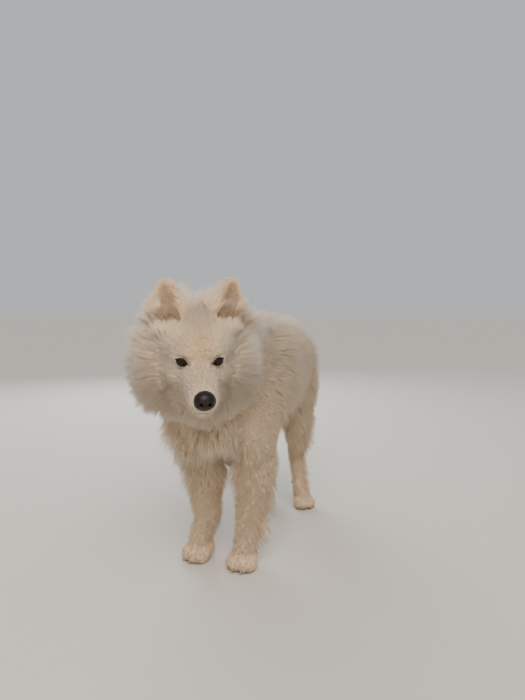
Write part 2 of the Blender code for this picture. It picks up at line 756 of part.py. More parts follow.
def front_leg_rows(side):
    for z, length, end, count in ((0.268, 0.084, 150, 5), (0.215, 0.070, 75, 3), (0.162, 0.056, 75, 3)):
        middle = Vector((side * 0.066, -0.190, z))
        rays = list(fan(middle, Vector((0, 0, -side)), Vector((0, 1, 0)), -20, end, count))
        yield rays, lambda root, out: Vector((0, 0.25, -1)), length, 0.018, 36


def painted(thing, colour, roughness):
    """A material of its own, from an sRGB hex colour, and smooth shading with the cuts kept crisp."""
    channels = [int(colour[i : i + 2], 16) / 255 for i in (1, 3, 5)]
    linear = [c / 12.92 if c <= 0.04045 else ((c + 0.055) / 1.055) ** 2.4 for c in channels]
    material = bpy.data.materials.new(thing.name)
    material.use_nodes = True
    surface = material.node_tree.nodes["Principled BSDF"]
    surface.inputs["Base Color"].default_value = (*linear, 1)
    surface.inputs["Roughness"].default_value = roughness
    thing.data.materials.clear()
    thing.data.materials.append(material)
    thing.data.shade_smooth()
    thing.data.set_sharp_from_angle(angle=math.radians(50))


def stood_on_origin(things):
    """Moves all so that the middle of the foot of their box is the origin, and tells by how much."""
    corners = [vert.co for thing in things for vert in thing.data.vertices]
    low = Vector([min(corner[i] for corner in corners) for i in range(3)])
    high = Vector([max(corner[i] for corner in corners) for i in range(3)])
    shift = Vector((-(low.x + high.x) / 2, -(low.y + high.y) / 2, -low.z))
    for thing in things:
        thing.data.transform(Matrix.Translation(shift))
    return shift


def main():
    clear_scene()
    body = make_body()
    parts = cut_apart(body)
    bpy.data.objects.remove(body)
    cut_mouth(parts["head"])
    parts["nose"] = make_nose(parts["head"])
    parts["tail"] = make_tail()
    rows = {"torso": torso_rows(), "tail": tail_rows(), "neck": neck_rows(), "head": head_rows()}
    for name, side in SIDES.items():
        parts[f"eye_{name}"] = make_eye(parts["head"], name, side)
        cut_cup(parts[f"ear_{name}"], side)
        add_claws(parts[f"front_paw_{name}"], FRONT_FEET[side], FRONT)
        add_claws(parts[f"hind_paw_{name}"], HIND_FEET[side], HIND)
        rows[f"front_leg_{name}"] = front_leg_rows(side)
        rows[f"hind_thigh_{name}"] = thigh_rows(side)
    for seed, (name, these) in enumerate(rows.items()):
        grow(parts[name], [part for other, part in parts.items() if other != name], these, seed)
    for name, thing in parts.items():
        kind = name.removesuffix("_left").removesuffix("_right")
        painted(thing, *LOOKS.get(kind, (CREAM, 0.85)))
    return stood_on_origin(parts.values())


SHIFT = main()
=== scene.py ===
# %% [markdown]
# # A samoyed, standing still
# A life-size samoyed looks to its left with its head low. The hard facts, such as where each foot
# stands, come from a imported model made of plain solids, and this lesson dresses that model. One skin
# takes the place of the flesh, and tens of thousands of tufts of hair grow from it. Eyes, nose and
# claws are pieces of their own. Everything is in metres, and the floor is z = 0.

# %% Load the fixed frame
import json
import math

import bmesh
import bpy
import numpy as np
from mathutils import Matrix, Vector
from mathutils.kdtree import KDTree

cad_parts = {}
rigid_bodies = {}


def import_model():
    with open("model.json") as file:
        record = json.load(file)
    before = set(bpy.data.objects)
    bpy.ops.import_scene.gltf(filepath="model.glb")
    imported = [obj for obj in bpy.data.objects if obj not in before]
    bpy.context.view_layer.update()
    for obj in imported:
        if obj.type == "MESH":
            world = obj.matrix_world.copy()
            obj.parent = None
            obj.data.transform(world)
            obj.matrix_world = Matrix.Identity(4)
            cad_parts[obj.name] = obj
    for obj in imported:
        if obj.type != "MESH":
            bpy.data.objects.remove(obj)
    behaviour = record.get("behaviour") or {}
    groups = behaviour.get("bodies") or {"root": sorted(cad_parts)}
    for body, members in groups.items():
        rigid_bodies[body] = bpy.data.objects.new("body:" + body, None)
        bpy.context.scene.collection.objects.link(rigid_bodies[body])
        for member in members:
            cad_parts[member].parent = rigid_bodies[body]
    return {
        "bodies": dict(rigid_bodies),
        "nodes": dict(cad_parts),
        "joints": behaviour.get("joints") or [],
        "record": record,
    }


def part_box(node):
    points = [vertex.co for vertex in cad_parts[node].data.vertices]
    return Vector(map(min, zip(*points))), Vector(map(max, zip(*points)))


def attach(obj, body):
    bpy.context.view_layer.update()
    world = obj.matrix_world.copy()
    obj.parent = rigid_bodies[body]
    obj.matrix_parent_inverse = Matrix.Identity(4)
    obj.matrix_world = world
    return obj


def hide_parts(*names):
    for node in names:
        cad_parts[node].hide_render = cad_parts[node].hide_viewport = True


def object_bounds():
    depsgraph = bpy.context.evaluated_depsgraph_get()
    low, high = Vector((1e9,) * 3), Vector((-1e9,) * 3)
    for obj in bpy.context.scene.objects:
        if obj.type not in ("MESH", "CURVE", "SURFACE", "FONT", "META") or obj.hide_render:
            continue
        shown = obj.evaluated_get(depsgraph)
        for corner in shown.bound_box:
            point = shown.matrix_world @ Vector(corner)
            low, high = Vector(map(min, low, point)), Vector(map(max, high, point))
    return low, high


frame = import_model()
solid_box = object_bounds()
print("nodes:", ", ".join(sorted(frame["nodes"])))

# %% [markdown]
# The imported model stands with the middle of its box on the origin. The dog's own measures are easier
# to read from another place: x = 0 down its middle and y = 0 between the legs. The nose leather tells
# how far apart the two frames are, because its place on the head is known. The head's frame starts
# midway between the eyes, with x to the dog's left, y back and z up.

# %% The dog's frame and the head's frame
LEFT, RIGHT = 1, -1
SIDES = {"left": LEFT, "right": RIGHT}
EYES_MIDDLE = Vector((0.0625, -0.4425, 0.5435))
HEAD_TURN, HEAD_NOD = math.radians(38), math.radians(17)
NOSE_AT, NOSE_RADII = Vector((0, -0.0895, -0.0495)), (0.0212, 0.0180, 0.0195)

head_turned = Matrix.Rotation(HEAD_TURN, 4, "Z") @ Matrix.Rotation(HEAD_NOD, 4, "X")
nose_low, nose_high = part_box("nose")
SHIFT = (nose_low + nose_high) / 2 - (EYES_MIDDLE + head_turned @ NOSE_AT)
SHIFT.z = 0
DOG = Matrix.Translation(SHIFT)
HEAD = DOG @ Matrix.Translation(EYES_MIDDLE) @ head_turned
print("the dog's frame is moved by", [round(value, 4) for value in SHIFT])

# %% [markdown]
# ## The camera
# The photograph was taken from the dog's left front, 0.64 m above the floor. The horizon lies 37
# pixels above the middle of the picture, so the camera looks down by a few degrees. Its focal length
# is 515 pixels on a picture 700 pixels high.

# %% Place the camera
PICTURE_HEIGHT, FOCAL_PIXELS, HORIZON_RISE = 700, 515, 37
CAMERA_TURN = math.radians(23.6)
CAMERA_AT = Vector((0.604, -1.358, 0.64))

camera_data = bpy.data.cameras.new("camera")
camera_data.sensor_width = 36
camera_data.lens = camera_data.sensor_width * FOCAL_PIXELS / PICTURE_HEIGHT
camera = bpy.data.objects.new("camera", camera_data)
bpy.context.scene.collection.objects.link(camera)
look_down = math.atan(HORIZON_RISE / FOCAL_PIXELS)
camera.location = DOG @ CAMERA_AT
camera.rotation_euler = (math.pi / 2 - look_down, 0, CAMERA_TURN)
bpy.context.scene.camera = camera
print("lens", round(camera_data.lens, 2), "mm, looking down", round(math.degrees(look_down), 1), "degrees")

# %% [markdown]
# ## Colours and nodes
# A colour is written as a hex value, as a colour picker shows it, and one function turns it into the
# linear values that Blender calculates with. A second adds a node to a material, sets it and links
# it, and a third makes a material with the values that are the same all over its surface.

# %% Helpers for materials
def linear(hex_colour):
    """A hex colour as linear red, green, blue and alpha."""
    channels = [int(hex_colour[i : i + 2], 16) / 255 for i in (1, 3, 5)]
    return (*[c / 12.92 if c <= 0.04045 else ((c + 0.055) / 1.055) ** 2.4 for c in channels], 1)


MIX_COLOURS = {"data_type": "RGBA"}


def add_node(material, kind, settings=None, out=0, **inputs):
    """Adds a node and gives one of its outputs. An input is a value or another node's output. In its
    name _ stands for a space, and i0 is the first input."""
    node = material.node_tree.nodes.new(kind)
    for name, value in (settings or {}).items():
        setattr(node, name, value)
    for name, value in inputs.items():
        socket = node.inputs[int(name[1:]) if name[1:].isdigit() else name.replace("_", " ")]
        if isinstance(value, bpy.types.NodeSocket):
            material.node_tree.links.new(value, socket)
        else:
            socket.default_value = value
    return node.outputs[out]


def new_material(name, roughness, **values):
    """A material that holds only its Principled shader, and that shader."""
    material = bpy.data.materials.new(name)
    material.use_nodes = True
    shader = material.node_tree.nodes["Principled BSDF"]
    shader.inputs["Roughness"].default_value = roughness
    for key, value in values.items():
        shader.inputs[key.replace("_", " ")].default_value = value
    return material, shader


# %% [markdown]
# ## Floor and light
# The floor is one pale matt sheet that runs past the picture on every side. A large soft lamp lights
# the dog from the camera's side, and a wide sun softens the shadows, as an overcast sky does. A third
# lamp behind the dog lights the rim of the coat, as the daylight in the photograph does.

# %% Make the floor and the lamps
FLOOR_SIZE = 160
floor_bm = bmesh.new()
bmesh.ops.create_grid(floor_bm, x_segments=1, y_segments=1, size=FLOOR_SIZE / 2)
floor_mesh = bpy.data.meshes.new("floor")
floor_bm.to_mesh(floor_mesh)
floor_bm.free()
floor = bpy.data.objects.new("floor", floor_mesh)
bpy.context.scene.collection.objects.link(floor)
# Matt paint scatters the light evenly, so the floor shows soft shadows and no gloss.
painted_board, board = new_material("matt_painted_board", 0.9)
board.inputs["Base Color"].default_value = linear("#CFCBC4")
floor_mesh.materials.append(painted_board)

for name, kind, place, power, colour in (
    ("key", "AREA", (0.9, -2.3, 2.6), 50, "#FFF4E4"),
    ("rim", "AREA", (-1.9, 2.3, 2.1), 70, "#FFFFFF"),
    ("daylight", "SUN", (1.0, -1.2, 2.4), 1.5, "#FFF4E6"),
):
    lamp_data = bpy.data.lights.new(name, kind)
    lamp_data.energy, lamp_data.color = power, linear(colour)[:3]
    if kind == "SUN":
        lamp_data.angle = math.radians(50)
    else:
        lamp_data.size = 1.8
    lamp = bpy.data.objects.new(name, lamp_data)
    bpy.context.scene.collection.objects.link(lamp)
    lamp.location = place
    lamp.rotation_euler = (Vector((0, 0, 0.4)) - lamp.location).to_track_quat("-Z", "Y").to_euler()

world = bpy.data.worlds.new("studio")
world.use_nodes = True
background = world.node_tree.nodes["Background"].inputs
background["Color"].default_value, background["Strength"].default_value = linear("#DADCE0"), 0.78
bpy.context.scene.world = world
print("floor", FLOOR_SIZE, "m across and 3 lamps")

# %% [markdown]
# ## The body under the coat
# A samoyed under its coat is a lean dog. Its forms are tubes with oval sections, called lofts, and
# ellipsoids. They overlap, and a voxel remesh makes one closed skin of them all, so that no seam
# shows anywhere. A Smooth modifier then softens the creases where they meet.

# %% Helpers for solid forms
def add_ellipsoid(bm, centre, radii, frame=DOG, rings=14):
    """An ellipsoid in a frame."""
    place = frame @ Matrix.Translation(centre) @ Matrix.Diagonal((*radii, 1))
    bmesh.ops.create_uvsphere(bm, u_segments=2 * rings, v_segments=rings, radius=1, matrix=place)


def curved(stations, steps):
    """The stations with more between them, on a smooth curve through them all."""
    points = [Vector((*centre, wide, deep)) for centre, wide, deep in stations]
    points = [points[0], *points, points[-1]]
    found = []
    for before, start, end, after in zip(points, points[1:], points[2:], points[3:]):
        for step in range(steps):
            t = step / steps
            pull = (end - before) * t + (2 * before - 5 * start + 4 * end - after) * t**2
            found.append(start + 0.5 * (pull + (3 * start - before - 3 * end + after) * t**3))
    found.append(points[-1])
    return [(Vector(point[:3]), point[3], point[4]) for point in found]


def add_loft(bm, stations, frame=DOG, steps=4, sides=24):
    """A closed tube of ellipses. A station is a centre, a half width along x and a half depth."""
    stations = curved(stations, steps)
    rims = []
    for i, (centre, wide, deep) in enumerate(stations):
        along = (stations[min(i + 1, len(stations) - 1)][0] - stations[max(i - 1, 0)][0]).normalized()
        across = (Vector((1, 0, 0)) - along.x * along).normalized()
        axes = Matrix((across * wide, along.cross(across) * deep, along)).transposed().to_4x4()
        made = bmesh.ops.create_circle(
            bm,
            cap_ends=i in (0, len(stations) - 1),
            segments=sides,
            radius=1,
            matrix=frame @ Matrix.Translation(centre) @ axes,
        )
        rims.append({edge for vert in made["verts"] for edge in vert.link_edges})
    for low, high in zip(rims, rims[1:]):
        bmesh.ops.bridge_loops(bm, edges=list(low | high))
    made = {face for rim in rims for edge in rim for face in edge.link_faces}
    bmesh.ops.recalc_face_normals(bm, faces=list(made))


def new_object(name, bm):
    """The bmesh as an object with smooth shading. The bmesh is freed."""
    mesh = bpy.data.meshes.new(name)
    bm.normal_update()
    bm.to_mesh(mesh)
    bm.free()
    mesh.shade_smooth()
    thing = bpy.data.objects.new(name, mesh)
    bpy.context.scene.collection.objects.link(thing)
    return thing


def applied(thing):
    """Applies the object's modifiers."""
    mesh = bpy.data.meshes.new_from_object(thing.evaluated_get(bpy.context.evaluated_depsgraph_get()))
    thing.modifiers.clear()
    thing.data = mesh
    return thing


def fused(thing, voxel, smoothing):
    """Overlapping shells made one skin of small even faces, softened where they meet."""
    remesh = thing.modifiers.new("fuse", "REMESH")
    remesh.mode, remesh.voxel_size = "VOXEL", voxel
    smooth = thing.modifiers.new("smooth", "SMOOTH")
    smooth.factor, smooth.iterations = 0.5, smoothing
    return applied(thing)


# %% [markdown]
# The trunk is one loft from breast to rump, the neck another up to the head. Skull, cheeks, shoulders
# and thighs are ellipsoids. They are fused first, with strong smoothing, as large forms flow into one
# another on a dog.

# %% Trunk, neck, skull, shoulders and thighs
TORSO = (
    (-0.326, 0.420, 0.030, 0.040),
    (-0.305, 0.422, 0.075, 0.100),
    (-0.235, 0.448, 0.120, 0.150),
    (-0.110, 0.464, 0.127, 0.152),
    (0.020, 0.480, 0.115, 0.133),
    (0.120, 0.489, 0.101, 0.116),
    (0.205, 0.484, 0.091, 0.104),
    (0.262, 0.474, 0.068, 0.082),
    (0.290, 0.468, 0.035, 0.045),
)
FRONT_FEET = {LEFT: (0.056, -0.222, 2), RIGHT: (-0.070, -0.224, -18)}
HIND_FEET = {LEFT: (0.058, 0.226, 42), RIGHT: (-0.072, 0.172, -8)}
HOCKS = {LEFT: (0.022, 0.258), RIGHT: (-0.066, 0.216)}


def hip_of(side):
    """How far back the thigh starts."""
    return 0.185 + 0.25 * (HOCKS[side][1] - HOCKS[LEFT][1])


large_bm = bmesh.new()
add_loft(large_bm, [((0, y, z), wide, high) for y, z, wide, high in TORSO])
head_in_dog = DOG.inverted() @ HEAD
add_loft(
    large_bm,
    [
        ((0, -0.130, 0.470), 0.105, 0.120),
        ((0, -0.200, 0.486), 0.116, 0.142),
        ((0.002, -0.285, 0.520), 0.110, 0.128),
        (head_in_dog @ Vector((0, 0.105, -0.030)), 0.112, 0.108),
        (head_in_dog @ Vector((0, 0.050, -0.010)), 0.080, 0.086),
    ],
)
add_ellipsoid(large_bm, (0, 0.056, 0.014), (0.082, 0.078, 0.073), HEAD)
add_ellipsoid(large_bm, (0, 0.046, -0.074), (0.064, 0.055, 0.044), HEAD)
add_ellipsoid(large_bm, (0, 0.092, -0.085), (0.108, 0.072, 0.070), HEAD)
for side in SIDES.values():
    add_ellipsoid(large_bm, (side * 0.052, 0.078, -0.035), (0.073, 0.062, 0.078), HEAD)
    add_ellipsoid(large_bm, (side * 0.034, 0.028, -0.036), (0.038, 0.042, 0.036), HEAD)
    add_ellipsoid(large_bm, (side * 0.082, -0.196, 0.385), (0.064, 0.090, 0.118))
    add_ellipsoid(large_bm, (side * 0.058, hip_of(side), 0.415), (0.052, 0.088, 0.115))
large_forms = fused(new_object("large_forms", large_bm), 0.005, 16)
print("large forms:", len(large_forms.data.polygons), "faces")

# %% [markdown]
# The muzzle, jaw, ears, legs, paws and tail are finer. They are added to the large forms, and the
# whole is fused again with smaller voxels. The tail hangs from the rump behind the left thigh.

# %% Muzzle, ears, legs, paws and tail
UPPER_MUZZLE = (
    (0.040, -0.024, 0.052, 0.052),
    (0.005, -0.038, 0.047, 0.046),
    (-0.030, -0.049, 0.0400, 0.0375),
    (-0.060, -0.055, 0.0360, 0.0315),
    (-0.082, -0.0575, 0.0325, 0.0280),
    (-0.096, -0.0605, 0.0250, 0.0210),
)
JAW = (
    (0.040, -0.086, 0.048, 0.026),
    (0.000, -0.087, 0.038, 0.021),
    (-0.040, -0.085, 0.0275, 0.0175),
    (-0.068, -0.083, 0.022, 0.0155),
    (-0.084, -0.081, 0.014, 0.0110),
)
EAR = (
    (-0.030, 0.050, 0.036),
    (0.000, 0.048, 0.029),
    (0.030, 0.0405, 0.0215),
    (0.056, 0.0315, 0.0160),
    (0.074, 0.0235, 0.0120),
    (0.086, 0.0155, 0.0090),
    (0.093, 0.0075, 0.0055),
)
TAIL = (
    ((0, 0.250, 0.510), 0.026),
    ((0, 0.292, 0.498), 0.024),
    ((0, 0.324, 0.455), 0.021),
    ((0, 0.337, 0.390), 0.019),
    ((0, 0.341, 0.320), 0.017),
    ((0, 0.340, 0.262), 0.014),
    ((0, 0.337, 0.220), 0.008),
)
TOES = ((-0.028, 0.014), (-0.0115, 0.026), (0.0115, 0.026), (0.028, 0.014))
HIND_SIZE = 0.92
FINE_VOXEL = 0.0046


EARS = {LEFT: (0.056, 12, 0.069), RIGHT: (0.055, 8, 0.063)}


def ear_axes(side):
    """The ear's frame: z from its root to its tip, and -y the way that its cup faces."""
    root, lean, rise = EARS[side]
    return (
        HEAD
        @ Matrix.Translation((side * root, 0.058, rise))
        @ Matrix.Rotation(math.radians(side * 22), 4, "Z")
        @ Matrix.Rotation(math.radians(side * lean), 4, "Y")
        @ Matrix.Rotation(math.radians(-3), 4, "X")
    )


def paw_frame(foot, size=1.0):
    x, y, turn = foot
    place = DOG @ Matrix.Translation((x, y, 0)) @ Matrix.Rotation(math.radians(turn), 4, "Z")
    return place @ Matrix.Scale(size, 4)


def front_leg(side):
    x, y, _ = FRONT_FEET[side]
    return [
        ((side * 0.076, -0.190, 0.400), 0.040, 0.060),
        ((side * 0.074, -0.186, 0.345), 0.044, 0.062),
        ((side * 0.077, -0.186, 0.295), 0.052, 0.058),
        ((side * 0.074, -0.190, 0.235), 0.048, 0.051),
        ((side * 0.067, -0.197, 0.170), 0.040, 0.042),
        ((side * 0.060, -0.203, 0.110), 0.031, 0.033),
        ((x, y + 0.012, 0.065), 0.0275, 0.030),
        ((x, y + 0.004, 0.030), 0.029, 0.034),
    ]


def hind_leg(side):
    x, y, _ = HIND_FEET[side]
    hock_x, hock_y = HOCKS[side]
    hip, thigh = hip_of(side), side * 0.058
    return [
        ((thigh, hip, 0.440), 0.040, 0.070),
        ((thigh, hip - 0.005, 0.380), 0.044, 0.080),
        ((thigh, 0.7 * hip + 0.3 * hock_y - 0.030, 0.320), 0.042, 0.067),
        ((0.7 * thigh + 0.3 * hock_x, 0.5 * (hip + hock_y) - 0.024, 0.265), 0.037, 0.054),
        ((0.4 * thigh + 0.6 * hock_x, 0.25 * hip + 0.75 * hock_y - 0.006, 0.213), 0.031, 0.042),
        ((hock_x, hock_y, 0.165), 0.026, 0.032),
        ((0.7 * hock_x + 0.3 * x, hock_y - 0.008, 0.110), 0.0235, 0.027),
        ((0.35 * hock_x + 0.65 * x, 0.4 * hock_y + 0.6 * y, 0.055), 0.025, 0.029),
        ((x, y + 0.004, 0.028), 0.026, 0.030),
    ]


def add_paw(bm, frame):
    """Four toes in an arc before a low pad."""
    add_ellipsoid(bm, (0, 0.004, 0.027), (0.034, 0.040, 0.030), frame)
    for across, ahead in TOES:
        add_ellipsoid(bm, (across, -ahead, 0.019), (0.0130, 0.023, 0.0210), frame)


skin_bm = bmesh.new()
for stations in (UPPER_MUZZLE, JAW):
    add_loft(skin_bm, [((0, y, z), wide, high) for y, z, wide, high in stations], HEAD)
add_ellipsoid(skin_bm, (0, 0.024, 0.006), (0.055, 0.043, 0.040), HEAD)
add_loft(skin_bm, [(middle, thick, thick) for middle, thick in TAIL])
for side in SIDES.values():
    add_ellipsoid(skin_bm, (side * 0.026, -0.002, 0.018), (0.020, 0.018, 0.013), HEAD)
    add_loft(skin_bm, [((0, 0, z), wide, deep) for z, wide, deep in EAR], ear_axes(side))
    add_loft(skin_bm, front_leg(side))
    add_loft(skin_bm, hind_leg(side))
    add_paw(skin_bm, paw_frame(FRONT_FEET[side]))
    add_paw(skin_bm, paw_frame(HIND_FEET[side], HIND_SIZE))
skin_bm.from_mesh(large_forms.data)
bpy.data.objects.remove(large_forms)
skin = fused(new_object("skin", skin_bm), FINE_VOXEL, 4)
print("skin:", len(skin.data.polygons), "faces")

# %% [markdown]
# Each ear is a cup. A Boolean with a loft of its own hollows it, open in front. Then the skin is
# divided more finely where the face has its small forms: once over the face, and twice more round
# the eyes and along the mouth.

# %% Hollow the ears
CUP = (
    (-0.002, 0.020, 0.0120),
    (0.010, 0.025, 0.0170),
    (0.030, 0.025, 0.0160),
    (0.054, 0.019, 0.0120),
    (0.070, 0.012, 0.0080),
    (0.080, 0.005, 0.0045),
)
EYE_X, EYE_TURN, EYE_SLANT = 0.0355, 15, 22
EYE_RADIUS, EYE_DEPTH = 0.0135, -0.0015
ALMOND_WIDE, ALMOND_HIGH = 0.0124, 0.0084
MOUTH = (
    (0.000, -0.093, -0.0765),
    (0.016, -0.088, -0.0775),
    (0.0265, -0.066, -0.0775),
    (0.0320, -0.036, -0.0750),
    (0.0370, -0.012, -0.0680),
    (0.0420, 0.004, -0.0570),
)


def eye_axes(side):
    """The eye's frame: its middle, with -y the way that it looks and its outer corner up."""
    return (
        HEAD
        @ Matrix.Translation((side * EYE_X, EYE_DEPTH, 0))
        @ Matrix.Rotation(math.radians(side * EYE_TURN), 4, "Z")
        @ Matrix.Rotation(math.radians(-side * EYE_SLANT), 4, "Y")
    )


cups_bm = bmesh.new()
for side in SIDES.values():
    add_loft(cups_bm, [((0, -0.0210 + 0.14 * z, z), wide, deep) for z, wide, deep in CUP], ear_axes(side))
cups = new_object("ear_cups", cups_bm)
hollow = skin.modifiers.new("hollow", "BOOLEAN")
hollow.operation, hollow.object, hollow.solver = "DIFFERENCE", cups, "EXACT"
applied(skin)
bpy.data.objects.remove(cups)
fused(skin, FINE_VOXEL, 3)
print("skin with ears:", len(skin.data.polygons), "faces")

# %% Places as rows of numbers
def smooth(value, low, high):
    """0 below low, 1 above high, and an even slope between."""
    t = np.clip((value - low) / (high - low), 0, 1)
    return t * t * (3 - 2 * t)


def local(matrix, points):
    """Points as rows, in a frame's own coordinates."""
    back = np.array(matrix.inverted())
    return points @ back[:3, :3].T + back[:3, 3]


def world_way(matrix, ways):
    """Directions as rows, from a frame to the world."""
    return ways @ np.array(matrix.to_3x3()).T


def unit(ways):
    return ways / np.maximum(np.linalg.norm(ways, axis=-1, keepdims=True), 1e-9)


def places_of(mesh):
    found = np.empty(len(mesh.vertices) * 3)
    mesh.vertices.foreach_get("co", found)
    return found.reshape(-1, 3)


def mouth_gap_of(points):
    """How far each point of the head's frame is from the mouth's line."""
    line = np.array([(-x, y, z) for x, y, z in reversed(MOUTH[1:])] + list(MOUTH))
    best = np.full(len(points), 1.0)
    for start, end in zip(line, line[1:]):
        way = end - start
        t = np.clip((points - start) @ way / (way @ way), 0, 1)
        gap = points - (start + t[:, None] * way)
        best = np.minimum(best, np.hypot(gap[:, 2], 0.45 * np.hypot(gap[:, 0], gap[:, 1])))
    return best


def eye_offset(across, up):
    """The distance outside the almond between the lids, less than 0 inside it."""
    bow = 1 - np.minimum(np.abs(across) / ALMOND_WIDE, 1) ** 2
    inside = np.maximum(up - ALMOND_HIGH * bow, -0.8 * ALMOND_HIGH * bow - up)
    return np.where(np.abs(across) < ALMOND_WIDE, inside, np.hypot(np.abs(across) - ALMOND_WIDE, up))


def refine(thing, near):
    """Divides the faces whose middles are where near says."""
    bm = bmesh.new()
    bm.from_mesh(thing.data)
    bm.faces.ensure_lookup_table()
    middles = np.array([face.calc_center_median() for face in bm.faces])
    chosen = np.flatnonzero(near(middles))
    edges = {edge for i in chosen for edge in bm.faces[i].edges}
    bmesh.ops.subdivide_edges(bm, edges=list(edges), cuts=1, use_grid_fill=True)
    divided = list({vert for edge in edges if edge.is_valid for vert in edge.verts})
    bmesh.ops.smooth_vert(bm, verts=divided, factor=0.5, use_axis_x=True, use_axis_y=True, use_axis_z=True)
    bm.to_mesh(thing.data)
    bm.free()
    print("divided", len(chosen), "faces")


# %% Divide the face, the eyes and the mouth
def on_face(points):
    at = local(HEAD, points)
    return (at[:, 1] < 0.020) & (at[:, 2] > -0.115) & (np.abs(at[:, 0]) < 0.080)


def near_eyes_or_mouth(reach):
    def near(points):
        at = local(HEAD, points)
        found = (mouth_gap_of(at) < 0.6 * reach) & (at[:, 1] < 0.010)
        for side in SIDES.values():
            eye = local(eye_axes(side), points)
            found |= (eye_offset(eye[:, 0], eye[:, 2]) < reach) & (np.abs(eye[:, 1] + 0.008) < 0.02)
        return found

    return near


refine(skin, on_face)
refine(skin, near_eyes_or_mouth(0.010))
refine(skin, near_eyes_or_mouth(0.005))
print("skin:", len(skin.data.polygons), "faces")

# %% [markdown]
# The skin now has the outline of the coat's core, so it is drawn in by the depth of the core: a
# millimetre or two on the muzzle and the paws, and more than a centimetre on the trunk. Then the face
# gets its features. Inside the almond the skin drops behind the eyeball, and round it the lids rise
# over the ball. The mouth's line is pressed in between two soft lips.

# %% Shares of the body's regions at each point
def regions(points):
    """How much each point belongs to each region, and where it is in the region's own frame."""
    at = points - np.array(SHIFT)
    head = local(HEAD, points)
    x, y, z = at.T
    hx, hy, hz = head.T
    share = {}
    ears = {}
    ear = np.zeros(len(points))
    for side in SIDES.values():
        own = local(ear_axes(side), points)
        inside = smooth(own[:, 2], 0.004, 0.026) * (1 - smooth(np.abs(own[:, 0]), 0.050, 0.062))
        inside *= (1 - smooth(np.abs(own[:, 1]), 0.026, 0.036)) * (own[:, 2] < 0.12)
        ears[side] = (own, inside)
        ear = np.maximum(ear, inside)
    share["ear"] = ear
    tail_gap = np.full(len(points), 1.0)
    tail_way = np.zeros_like(points)
    middles = [np.array(middle) for middle, _ in TAIL]
    for start, end in zip(middles[1:], middles[2:]):
        way = end - start
        t = np.clip((at - start) @ way / (way @ way), 0, 1)
        gap = np.linalg.norm(at - (start + t[:, None] * way), axis=1)
        closer = gap < tail_gap
        tail_gap = np.where(closer, gap, tail_gap)
        tail_way = np.where(closer[:, None], way / np.linalg.norm(way), tail_way)
    share["tail"] = (1 - smooth(tail_gap, 0.026, 0.040)) * smooth(y, 0.280, 0.305)
    share["head"] = (1 - ear) * (1 - smooth(hy, 0.055, 0.125)) * smooth(hz, -0.150, -0.105) * (y < -0.15)
    share["fore"] = (1 - smooth(z, 0.255, 0.345)) * (y < 0.0)
    share["hind"] = (1 - smooth(z, 0.270, 0.370)) * (y > 0.04) * (1 - share["tail"])
    share["body"] = np.clip(1 - sum(share.values()), 0, 1)
    total = sum(share.values())
    share = {name: value / np.maximum(total, 1e-6) for name, value in share.items()}
    return at, head, share, ears, tail_way


def core_depth(points):
    """How far the skin lies inside the core of the coat."""
    at, head, share = regions(points)[:3]
    face = 0.0015 + 0.0085 * smooth(head[:, 1], -0.01, 0.07)
    thigh = 0.004 + 0.004 * smooth(at[:, 2], 0.16, 0.30)
    leg = 0.0028 + 0.004 * smooth(at[:, 2], 0.10, 0.25)
    paw = smooth(at[:, 2], 0.05, 0.09)
    depth = share["head"] * face + share["ear"] * 0.0022 + share["body"] * 0.0125 + share["tail"] * 0.001
    depth = depth + share["fore"] * (0.0016 + paw * (leg - 0.0016))
    return depth + share["hind"] * (0.0016 + paw * (thigh - 0.0016))


def neighbours_mean(mesh, values, rounds):
    """The values at the vertices, each mixed with those at its neighbours some times over."""
    pairs = np.empty(len(mesh.edges) * 2, np.int64)
    mesh.edges.foreach_get("vertices", pairs)
    first, second = pairs.reshape(-1, 2).T
    count = np.bincount(pairs, minlength=len(values))[:, None]
    flat = values.reshape(len(values), -1)
    for _ in range(rounds):
        total = [
            np.bincount(first, column[second], len(flat)) + np.bincount(second, column[first], len(flat))
            for column in flat.T
        ]
        flat = 0.5 * flat + 0.5 * np.stack(total, axis=1) / np.maximum(count, 1)
    return flat.reshape(values.shape)


def normals_of(mesh):
    found = np.empty(len(mesh.vertices) * 3)
    mesh.vertices.foreach_get("normal", found)
    return found.reshape(-1, 3)


def set_places(mesh, points):
    mesh.vertices.foreach_set("co", points.ravel())
    mesh.update()


points = places_of(skin.data)
normals = unit(neighbours_mean(skin.data, normals_of(skin.data), 6))
depth = core_depth(points)
points = points - normals * neighbours_mean(skin.data, depth, 4)[:, None]
set_places(skin.data, points)
print("skin drawn in by", round(1000 * depth.min(), 1), "to", round(1000 * depth.max(), 1), "mm")

# %% Shape the lids and the mouth
LID_WIDE, LID_THICK = 0.0024, 0.0013


def shape_lids(points):
    """The skin dropped behind each eyeball and raised as lids round it."""
    for side in SIDES.values():
        axes = eye_axes(side)
        own = local(axes, points)
        across, depth_at, up = own.T
        offset = eye_offset(across, up)
        around = (np.abs(depth_at + 0.006) < 0.022) & (offset < 0.012)
        ball = -np.sqrt(np.maximum(EYE_RADIUS**2 - across**2 - up**2, (0.42 * EYE_RADIUS) ** 2))
        rise = np.sqrt(np.clip(1 - (offset / LID_WIDE - 0.55) ** 2 / 0.75, 0, 1))
        lid = ball - LID_THICK * rise * np.where(up > 0, 1.25, 0.85)
        pocket = ball + 0.0035
        target = np.where(offset < -0.00025, pocket, lid)
        weight = np.where(around, 1 - smooth(offset, LID_WIDE, 0.010), 0)
        own[:, 1] = depth_at + weight * (target - depth_at)
        moved = own @ np.array(axes)[:3, :3].T + np.array(axes)[:3, 3]
        points = np.where(around[:, None], moved, points)
    return points


